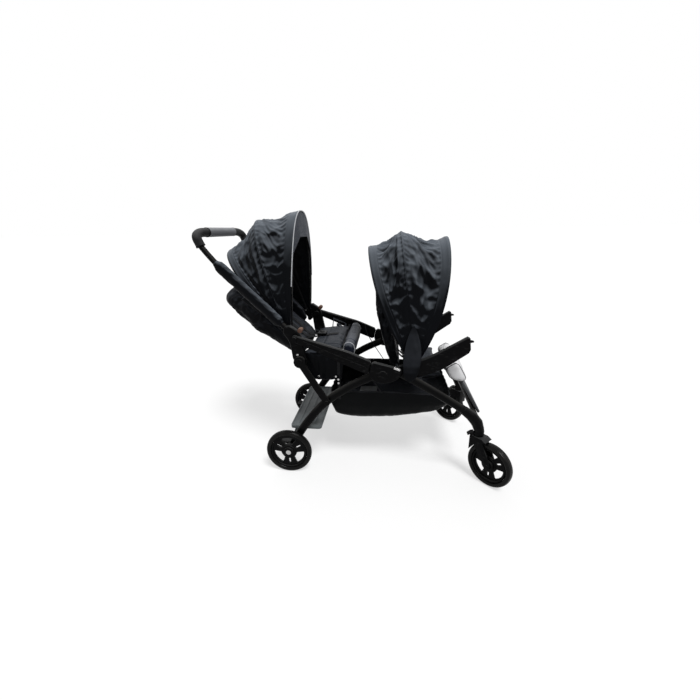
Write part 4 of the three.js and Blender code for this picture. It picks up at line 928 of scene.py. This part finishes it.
for seed, (which, shape) in enumerate(canopies.items()):
    middle_body, front_body, angles = f"{which}_bow_middle", f"{which}_bow_front", shape["bows"]
    cloth_panel(which, "rear", 0.0, 0.5, seed * 3 + 1.3, angles[:2])
    cloth_panel(which, "front", 1.0, 0.5, seed * 3 + 2.6, angles[1:])
    for bow in ("rear", "middle", "front"):
        nodes[f"{which}_canopy_bow_{bow}"].data.materials[0] = nylon.material
print("sewed four canopy panels")

# %% [markdown]
# On each side the front canopy ends in a leaf of darker cloth, which laps over the arm and hides
# the pivot. It is one narrow sheet, pointed at its top, widest below its middle and rounded at
# its foot, and it turns with the middle bow. The lists give its line from the top down.

# %% Pivot leaves
leaf_path = [(0.1990, 0.668), (0.2045, 0.636), (0.2150, 0.604), (0.2290, 0.572), (0.2425, 0.543),
             (0.2530, 0.516), (0.2585, 0.488), (0.2592, 0.454)]
leaf_middle = (0.220, 0.220, 0.219, 0.218, 0.216, 0.213, 0.210, 0.208)
leaf_half = (0.001, 0.017, 0.028, 0.034, 0.036, 0.034, 0.028, 0.002)
leaf_knots = np.linspace(0, 1, len(leaf_path))

def leaf_point(side, across, down):
    lines = (*zip(*leaf_path), leaf_middle, leaf_half)
    y, z, middle, half = (float(np.interp(down, leaf_knots, line)) for line in lines)
    if down > 0.8:
        half = 0.030 * math.sqrt(max(1 - ((down - 0.8) / 0.2) ** 2, 0.004))
    crown = 0.004 * (1 - across * across) * smooth_step(down, 0, 0.3)
    fold = 0.0030 * ridge(across * 1.6, down * 1.8, side * 4.0) * smooth_step(down, 0.05, 0.35)
    return Vector((middle + across * half, side * (y + crown + fold), z))

for word, side in sides:
    leaf = woven_sheet("leaf", [[leaf_point(side, c / 14 - 1, r / 60) for c in range(29)] for r in range(61)],
                       [[(0.002 * c, -0.0032 * r) for c in range(29)] for r in range(61)])
    apply(leaf, "SMOOTH", factor=0.5, iterations=12)
    area = thicken(leaf, 0.0014)
    finished(closed(leaf, 0.00001), f"front_canopy_leaf_{word}", seat_cloth, "front_bow_middle",
             angle=180)
print("each leaf takes", round(area * 1e4), "square cm of cloth")

# %% [markdown]
# A pale cord is sewn into the front edge of the rear canopy, and behind it hangs a stiffened
# brim. The brim is folded along two creases, so it is made of flat faces: each face runs from the
# bow to a straight lower edge.

# %% Piping and brim
rear_arch = canopies["rear"]
edge_line = [arch(rear_arch, 1, 0.10 + 0.80 * k / 48, 0.0012) for k in range(49)]
edge_cord = tube(edge_line, 0.0021, steps=2, corners=4)
finished(edge_cord, "rear_canopy_piping", piping, "rear_bow_front")

brim_corners, brim_depth, brim_inset = (0.20, 0.42, 0.58, 0.80), 0.085, -0.004
under = [arch(rear_arch, 1, share, brim_inset) for share in brim_corners]
for k in (1, 2):
    under[k] += Vector((0.004, 0, -brim_depth))

def brim_point(share, down):
    k = 0 if share < brim_corners[1] else 1 if share < brim_corners[2] else 2
    low, high = brim_corners[k], brim_corners[k + 1]
    foot = under[k].lerp(under[k + 1], (share - low) / (high - low))
    return arch(rear_arch, 1, share, brim_inset).lerp(foot, down)

shares = [0.2 + 0.6 * k / 60 for k in range(61)]
brim_rows = [[brim_point(share, down / 8) for share in shares] for down in range(9)]
brim_uvs = [[(share * 0.9, down * 0.011) for share in shares] for down in range(9)]
brim = woven_sheet("rear_brim", brim_rows, brim_uvs)
brim_area = thicken(brim, 0.0022)
soften(closed(brim, 0.00001), 0.0005, 2, 60)
finished(brim, "rear_visor_brim", lining, "rear_bow_front", ["rear_visor"], 12)
hem = tube([brim_point(share, 1) for share in shares], 0.0015, steps=1, corners=3)
finished(hem, "rear_visor_hem", binding, "rear_bow_front")
print("the brim measures", round(brim_area * 1e4), "square cm")

# %% [markdown]
# A seat pad is foam in a sewn cover. The model's plain pad is remeshed into even small faces and
# drawn in a little; then the cloth simulation blows it up from inside, held where it is stitched
# to the frame. A subdivision smooths it, and only then are the seams pressed in, because the
# remesh would wipe them out. Each seam is a function that gives how far a point lies from it.

# %% Upholstery
def free(place):
    return 0.0

def side_hold(limit, soft=0.010):
    return lambda p: smooth_step(abs(p.y), limit, limit + soft)

def pillow(piece, name, finish, slot, body, fill, held=free, seams=(), stands_for=(), voxel=0.005,
           draw=0.0035, cap=0.007, wrinkle=0.0012, frames=18):
    named(piece, name)
    apply(piece, "REMESH", mode="VOXEL", voxel_size=voxel)
    apply(piece, "SMOOTH", factor=0.5, iterations=3)
    normals = [v.normal.copy() for v in piece.data.vertices]
    weights = [held(v.co) for v in piece.data.vertices]
    for vertex, normal, weight in zip(piece.data.vertices, normals, weights):
        vertex.co -= normal * draw * (1 - weight)
    hold(piece, weights)
    settle_cloth(piece, cap, frames, 0.03, pressure=4.0, gravity=0.0)
    apply(piece, "SUBSURF", levels=1, render_levels=1)
    press(piece, held, seams, wrinkle)
    finished(piece, name, finish, body, stands_for, 180)
    return piece

def press(piece, held, seams, wrinkle):
    normals = [v.normal.copy() for v in piece.data.vertices]
    for vertex, normal in zip(piece.data.vertices, normals):
        gap = min([abs(seam(vertex.co)) for seam in seams] or [1.0])
        depth = 0.0032 * math.exp(-(gap / 0.004) ** 2)
        gathered = noise.noise(vertex.co * 55) * math.exp(-gap / 0.03)
        ruck = wrinkle * (gathered + 1.6 * ridge(*(vertex.co * 13)))
        vertex.co -= normal * (1 - held(vertex.co)) * (depth + ruck)

def edge_piping(pad, y, finish, body):
    """A round cord sewn along the edge of a pad, where the upright plane at y cuts it."""
    plane = {"plane_co": (0, y, 0), "plane_no": (0, 1, 0), "clear_inner": True, "clear_outer": True}
    on_all(added(pad.data.copy(), "cut"), (bpy.ops.mesh.bisect, plane))
    bpy.ops.object.convert(target="CURVE")
    line = bpy.context.object.data
    line.bevel_depth, line.bevel_resolution = 0.0022, 2
    bpy.ops.object.convert(target="MESH")
    name = f"{pad.name}_piping_{'left' if y > 0 else 'right'}"
    finished(closed(bpy.context.object), name, finish, body)

print("upholstery tools are ready")

# %% [markdown]
# The rear seat has a deep reclining back, a flat base and a bolster across its front edge, whose
# ends are pale. The front seat is smaller, and a pale calf pad hangs before it. Seams run along
# both sides of a pad and, on backs and bases, across it in channels.

# %% Seat pads
def seams_of(half, axis="x", *places):
    across = [lambda p, at=at: getattr(p, axis) - at if abs(p.y) < half else 1 for at in places]
    return [lambda p: abs(p.y) - half, *across]

holds = {
    "rear_seat_back": lambda p: max(side_hold(0.1585, 0.004)(p), smooth_step(p.x, -0.272, -0.255)),
    "rear_seat_base": lambda p: max(side_hold(0.182)(p), 1 - smooth_step(p.x, -0.245, -0.232)),
    "front_seat_base": side_hold(0.172),
    "front_seat_back": lambda p: max(side_hold(0.166, 0.004)(p), 1 - smooth_step(p.z, 0.488, 0.505)),
}
pad_plans = {
    "rear_seat_back": (seat_cloth, "seat_cloth", 0.6, seams_of(0.118, "x", -0.34, -0.43), {"wrinkle": 0.0030}),
    "rear_seat_base": (seat_cloth, "seat_cloth", 0.7, seams_of(0.135, "x", -0.155), {"draw": 0.0015}),
    "rear_seat_bolster": (navy_cloth, "seat_cloth", 0.8, seams_of(0.110), {"draw": 0.001}),
    "front_seat_base": (seat_cloth, "seat_cloth", 0.7, seams_of(0.125, "x", 0.262), {}),
    "front_seat_back": (seat_cloth, "seat_cloth", 0.6, seams_of(0.110, "z", 0.60, 0.70), {}),
    "calf_pad": (pale_cloth, "pad_cloth", 0.7, seams_of(0.100), {}),
}
pads = {}
for node, (finish, slot, fill, seams, settings) in pad_plans.items():
    body, held = nodes[node]["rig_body"], holds.get(node, free)
    copy = closed(added(nodes[node].data.copy(), node))
    pads[node] = pillow(copy, node + "_pad", finish, slot, body, fill, held, seams, [node], **settings)

edges = {"rear_seat_back": (0.105, binding, "seat_cloth"), "rear_seat_bolster": (0.158, piping, "pad_cloth"),
         "rear_seat_base": (0.168, binding, "seat_cloth"), "front_seat_base": (0.160, binding, "seat_cloth"),
         "front_seat_back": (0.105, binding, "seat_cloth"), "calf_pad": (0.138, binding, "pad_cloth")}
for node, (y, finish, slot) in edges.items():
    for word, side in sides:
        edge_piping(pads[node], side * y, finish, nodes[node]["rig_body"])
print("six pads,", sum(len(pad.data.polygons) for pad in pads.values()), "faces")

# %% [markdown]
# Cloth hangs from both sides of the rear seat, below the rail, and snaps close it at its hem. It
# is one flat piece on each side, drawn with shallow upright folds that grow towards its hem.

# %% Seat skirts
def skirt_point(side, along, down):
    x = -0.228 + 0.172 * along + 0.012 * down * (1 - 2 * along)
    ripple = (0.0045 * down * ridge(along * 5.5, down * 1.2, side * 2.0)
              + 0.0012 * noise.noise((along * 22, down * 5, side)))
    top, foot = 0.5345 + 0.010 * (1 - along), 0.437 - 0.008 * math.sin(math.pi * along)
    return Vector((x, side * (0.1835 + 0.014 * down ** 0.7 + ripple), top + (foot - top) * down))

for word, side in sides:
    hang = [[skirt_point(side, c / 60, r / 36) for c in range(61)] for r in range(37)]
    flat = [[(0.172 * c / 60, -0.098 * r / 36) for c in range(61)] for r in range(37)]
    skirt = woven_sheet("skirt", hang, flat)
    area = thicken(skirt, 0.0014)
    finished(closed(skirt, 0.00001), f"rear_seat_skirt_{word}", seat_cloth, "frame",
             angle=180)
    edge = tube([skirt_point(side, k / 40, 1) for k in range(41)], 0.0018, steps=1, corners=3)
    finished(edge, f"rear_seat_skirt_hem_{word}", binding, "frame")
    snaps = [disc(x, 444.5, 4.2, side * 199, side * 203.4, 0.0008, 28) for x in (-164, -92)]
    finished(joined(*snaps), f"rear_seat_skirt_snaps_{word}", bright_steel, "frame")
print("each skirt takes", round(area * 1e4), "square cm of cloth")

# %% [markdown]
# Low padded wings stand up along both sides of the rear back and keep a sleeping child's head
# from the bows. Each is a flat slab with a drawn outline, and it is stuffed like the other pads.

# %% Head wings
def slab(outline, low, high):
    count = len(outline)
    points = [(x, y, z) for y in (low, high) for x, z in outline]
    faces = [list(range(count)), list(range(count, 2 * count))[::-1]]
    faces += [(k, (k + 1) % count, count + (k + 1) % count, count + k) for k in range(count)]
    mesh = bpy.data.meshes.new("slab")
    mesh.from_pydata(points, [], faces)
    return closed(added(mesh, "slab"))

wing_foot, wing_tip = Vector((-0.288, 0.600)), Vector((-0.486, 0.766))
wing_way = (wing_tip - wing_foot).normalized()
wing_up = Vector((wing_way.y, -wing_way.x))
wing_shape = ((0, -0.012), (0.004, 0.016), (0.045, 0.040), (0.130, 0.050), (0.200, 0.044),
              (0.245, 0.018), (0.256, -0.012))
wing_outline = [wing_foot + wing_way * along + wing_up * up for along, up in wing_shape]
for word, side in sides:
    blank = slab(wing_outline, *sorted((side * 0.120, side * 0.146)))
    pillow(blank, f"rear_head_wing_{word}", seat_cloth, "seat_cloth", "rear_back", 0.7,
           seams=seams_of(0.133), voxel=0.004, draw=0.002, cap=0.004, wrinkle=0.0015, frames=14)
print("a wing stands", round(wing_shape[3][1] * 1000), "mm high")

# %% [markdown]
# Harness webbing lies on the pads. Rays are cast at a pad to find its surface, and the ribbon is
# laid a little above the places they hit. Each shoulder strap runs from the top of a back down to
# its base, and it is attached to no body.

# %% Harness
def surface_of(*pieces):
    trees = [BVHTree.FromObject(piece, bpy.context.evaluated_depsgraph_get()) for piece in pieces]
    def touch(start, way):
        hits = [tree.ray_cast(Vector(start), Vector(way))[0] for tree in trees]
        return min((hit for hit in hits if hit), key=lambda hit: (hit - Vector(start)).length, default=None)
    return touch

def ribbon(points, width, thickness, lift):
    """A flat strap along points, with its width along Y; each point is lifted off the pad."""
    eased_points = [a * 0.25 + b * 0.5 + c * 0.25 for a, b, c in zip(points, points[1:], points[2:])]
    line = [points[0], *eased_points, points[-1]]
    rows, uvs, way = [], [], 0.0
    for k, p in enumerate(line):
        before, after = line[max(k - 1, 0)], line[min(k + 1, len(line) - 1)]
        out = Vector((-(after - before).z, 0, (after - before).x)).normalized()
        out = out if out.x + out.z > 0 else -out
        way += (p - before).length
        rows.append([p + out * lift + Vector((0, width * (c / 6 - 0.5), 0)) for c in range(7)])
        uvs.append([(width * c / 6, way) for c in range(7)])
    piece = woven_sheet("strap", rows, uvs)
    thicken(piece, thickness)
    return closed(piece, 0.00001)

def touched(touch, way, first, last, count):
    """Where rays cast from evenly spaced places between first and last meet the pads."""
    places = [Vector(first).lerp(Vector(last), k / count) for k in range(count + 1)]
    return [hit for hit in (touch(place, way) for place in places) if hit]

seats = {
    "rear": {"pads": ("rear_seat_back", "rear_seat_base"), "body": "rear_back", "way": (0, 0, -1),
             "start": (-0.236, 0, 0.570), "end": (-0.275, 0, 0.590),
             "top": (-0.478, 0.052, 0.95), "foot": (-0.188, 0.016, 0.95),
             "crotch": (-0.105, 0, 0.95), "buckle": (-0.180, 0, 0.95)},
    "front": {"pads": ("front_seat_back", "front_seat_base"), "body": "front_back", "way": (-0.80, 0, -0.6),
              "start": (0.205, 0, 0.470), "end": (0.168, 0, 0.510),
              "top": (0.40, 0.050, 0.985), "foot": (0.40, 0.020, 0.600),
              "crotch": (0.455, 0, 0.600), "buckle": (0.405, 0, 0.600)},
}
for which, seat in seats.items():
    touch, way = surface_of(*(pads[node] for node in seat["pads"])), seat["way"]
    for word, side in sides:
        mirror = Vector((1, side, 1))
        path = touched(touch, way, mirror * Vector(seat["top"]), mirror * Vector(seat["foot"]), 26)
        strap = ribbon(path, 0.024, 0.0016, 0.0022)
        finished(strap, f"{which}_harness_{word}", webbing, None)
        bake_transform(strap)
        pillow(ribbon(path[3:11], 0.046, 0.011, 0.0065), f"{which}_shoulder_pad_{word}", pale_cloth,
               "pad_cloth", seat["body"], 0.7, voxel=0.003, draw=0.001, cap=0.003, wrinkle=0.0008, frames=12)
    crotch = ribbon(touched(touch, way, seat["crotch"], seat["buckle"], 8), 0.026, 0.0018, 0.0022)
    finished(crotch, f"{which}_crotch_strap", webbing, "frame")
    spot = touch(seat["buckle"], way)
    bpy.ops.mesh.primitive_cube_add(size=1, location=spot + Vector((0, 0, 0.009)),
                                    scale=(0.040, 0.046, 0.014))
    buckle = soften(place_mesh(bpy.context.object), 0.005, 4)
    bpy.ops.mesh.primitive_cylinder_add(vertices=40, radius=0.010, depth=0.006,
                                        location=spot + Vector((0, 0, 0.0165)))
    button = soften(place_mesh(bpy.context.object), 0.0012)
    finished(joined(buckle, button), f"{which}_harness_buckle", nylon, "frame")
    print(which, "harness meets at", [round(v, 3) for v in spot])

# %% [markdown]
# The basket is one bag: a rim that rises in the middle, walls that lean in, and a floor that
# sags. It is lofted ring by ring from rounded rectangles. Folds hang from the rim, the wall
# bellies out a little under its own weight, and a bound tape finishes the rim. Each ring has its
# share of the depth, and its size as a share of the rim.

# %% Basket
basket_rim = [(-0.130, 0.352), (-0.027, 0.376), (0.139, 0.378), (0.300, 0.372), (0.392, 0.352)]
basket_floor = [(-0.136, 0.264), (-0.100, 0.242), (0.020, 0.240), (0.136, 0.246), (0.301, 0.272),
                (0.388, 0.296)]
ring_shares = [(0, 1), (0.55, 0.995), (0.9, 0.965), (1, 0.9)]
basket_middle, half_length, half_width, floor_half_width = 0.131, 0.261, 0.200, 0.186
around = 192

def read_off(line, at):
    return float(np.interp(at, *zip(*line)))

def basket_point(down, size, turn, inset=0.0):
    c, s = math.cos(turn), math.sin(turn)
    reach = (abs(c) ** 8 + abs(s) ** 8) ** -0.125
    half = (half_width + (floor_half_width - half_width) * down) - inset
    x, y = basket_middle + (half_length - inset) * size * c * reach, half * size * s * reach
    rim, floor = read_off(basket_rim, x), read_off(basket_floor, x)
    along = math.atan2(s, c) * 5
    belly = 0
    if size >= 0.9:
        fold = (0.0042 * ridge(along * 0.9, down * 1.1, 4.0) - 0.0042
                + 0.0022 * ridge(along * 2.6, down * 2.5, 1.0))
        belly = 0.0040 * math.sin(math.pi * min(down * 1.1, 1)) + fold
    lift = 0.0024 * smooth_step(1 - size, 0.1, 0.25)
    if size < 0.85:
        lift += 0.0015 * noise.noise((x * 14, y * 14, 2))
    return Vector((x + belly * c, y + belly * s, rim + (floor - rim) * down + lift))

bag_rings = [(k / 16, read_off(ring_shares, k / 16)) for k in range(17)]
bag_rings += [(1, 0.9 * (1 - (k / 14))) for k in range(1, 15)]
rows = [[basket_point(down, size, 2 * math.pi * k / around) for k in range(around + 1)]
        for down, size in bag_rings]
steps_down = np.cumsum([0] + [(b[0] - a[0]).length for a, b in zip(rows, rows[1:])])
bag_uvs = [[(1.75 * k / around, -d) for k in range(around + 1)] for d in steps_down]
bag = closed(woven_sheet("basket_bag", rows[::-1], bag_uvs[::-1]))
bag_area = thicken(bag, 0.0016, -1)
finished(bag, "basket_bag", basket_cloth, "frame", ["basket"], 180)
tape_line = [basket_point(0, 1, 2 * math.pi * k / 96, 0.0022) for k in range(96)]
tape = tube(tape_line + tape_line[:1], 0.0026, steps=2, corners=4)
finished(tape, "basket_rim_tape", binding, "frame")
print("the bag measures", round(bag_area, 3), "square m")

# %% [markdown]
# Webbing straps and thin cords hold the basket under the rails, and the straps close with snaps.
# Their shapes are right in the model; the straps only need softer edges.

# %% Straps and cords
for word, side in sides:
    rounded(f"basket_strap_{word}", webbing, 0.0006, 2)
    nodes[f"basket_cord_{word}"].data.materials[0] = webbing.material
nodes["rear_axle"].data.materials[0] = bright_steel.material
print("straps and cords are finished")

# %% [markdown]
# Small fasteners catch the light and show how the stroller is put together: a rivet through each
# hinge block, snaps on the basket straps, a bright tab on each junction, a knob above each hinge
# and a grey collar where each front leg enters its elbow.

# %% Fasteners
tab_line = [(146, 508.5), (155, 505.5), (170, 500)]
collar_line = [(414.5, 339.2), (420, 335.4), (424, 332.6)]
for word, side in sides:
    rivet = disc(-241, 547.5, 4.5, side * 229, side * 232.5, 0.0010, 32)
    finished(rivet, f"hinge_rivet_{word}", bright_steel, "handle")
    snap = disc(-80, 437.5, 4.5, side * 214, side * 217.2, 0.0008, 32)
    second = disc(-80, 420, 4.5, side * 211.6, side * 214.8, 0.0008, 32)
    finished(joined(snap, second), f"strap_snaps_{word}", bright_steel, "frame")
    tab = soften(tube(side_view(tab_line, side * 0.2535), 0.0045, 0.4, 4, 4), 0.0004, 2, 60)
    finished(tab, f"junction_tab_{word}", bright_steel, "frame")
    knob = soften(disc(-226, 648, 9.5, side * 202, side * 230.4, 0.002, 40), 0.0006, 2, 50)
    finished(knob, f"hinge_knob_{word}", brown_knob, "handle")
    collar = soften(tube(side_view(collar_line, side * rail_plane), 0.0178, 10.8 / 17.8, 2), 0.0008)
    finished(collar, f"front_leg_collar_{word}", hub_plastic, "frame")
print("fitted rivets, snaps, tabs, knobs and collars")

# %% [markdown]
# A long cloth sleeve covers each handle tube under its grip. It is cut wider than the tube, so it
# lies in slanting folds, and its ends are drawn in by elastic.

# %% Handle sleeves
sleeve_path = [(-0.300, 0.672), (-0.350, 0.722), (-0.430, 0.801), (-0.487, 0.858), (-0.540, 0.911)]
sleeve_knots = np.linspace(0, 1, len(sleeve_path))
sleeve_length, sleeve_around, sleeve_radius = 90, 56, 0.0128

def sleeve_rings(side):
    xs, zs = zip(*sleeve_path)
    way = Vector((xs[-1] - xs[0], 0, zs[-1] - zs[0])).normalized()
    normal = Vector((-way.z, 0, way.x))
    rings, uvs = [], []
    for k in range(sleeve_length + 1):
        share = k / sleeve_length
        x, z = (float(np.interp(share, sleeve_knots, line)) for line in (xs, zs))
        centre = Vector((x, side * limb_plane, z))
        ends = smooth_step(min(share, 1 - share), 0, 0.07)
        ring = []
        for j in range(sleeve_around + 1):
            turn = 2 * math.pi * j / sleeve_around
            c, s = math.cos(turn), math.sin(turn)
            slant = (ridge(share * 7 + c * 0.9, s * 0.9 + share * 1.5, side * 3)
                     + 0.5 * ridge(share * 19, c * 2 + 4, s * 2))
            wide = sleeve_radius + (0.0028 * ends + 0.0008 * slant * ends)
            tall = sleeve_radius + (0.0078 * ends + 0.0036 * slant * ends)
            ring.append(centre + Vector((0, 1, 0)) * wide * c * 0.9 + normal * tall * s)
        rings.append(ring)
        uvs.append([(0.105 * j / sleeve_around, 0.335 * share) for j in range(sleeve_around + 1)])
    return rings, uvs

for word, side in sides:
    cover = closed(woven_sheet(f"handle_cover_{word}", *sleeve_rings(side)), 0.00001)
    area = thicken(cover, 0.0010, -1)
    finished(cover, f"handle_cover_{word}", canopy_nylon, "handle", [f"handle_sleeve_{word}"],
             180)
print("each sleeve takes", round(area * 1e4), "square cm of cloth")
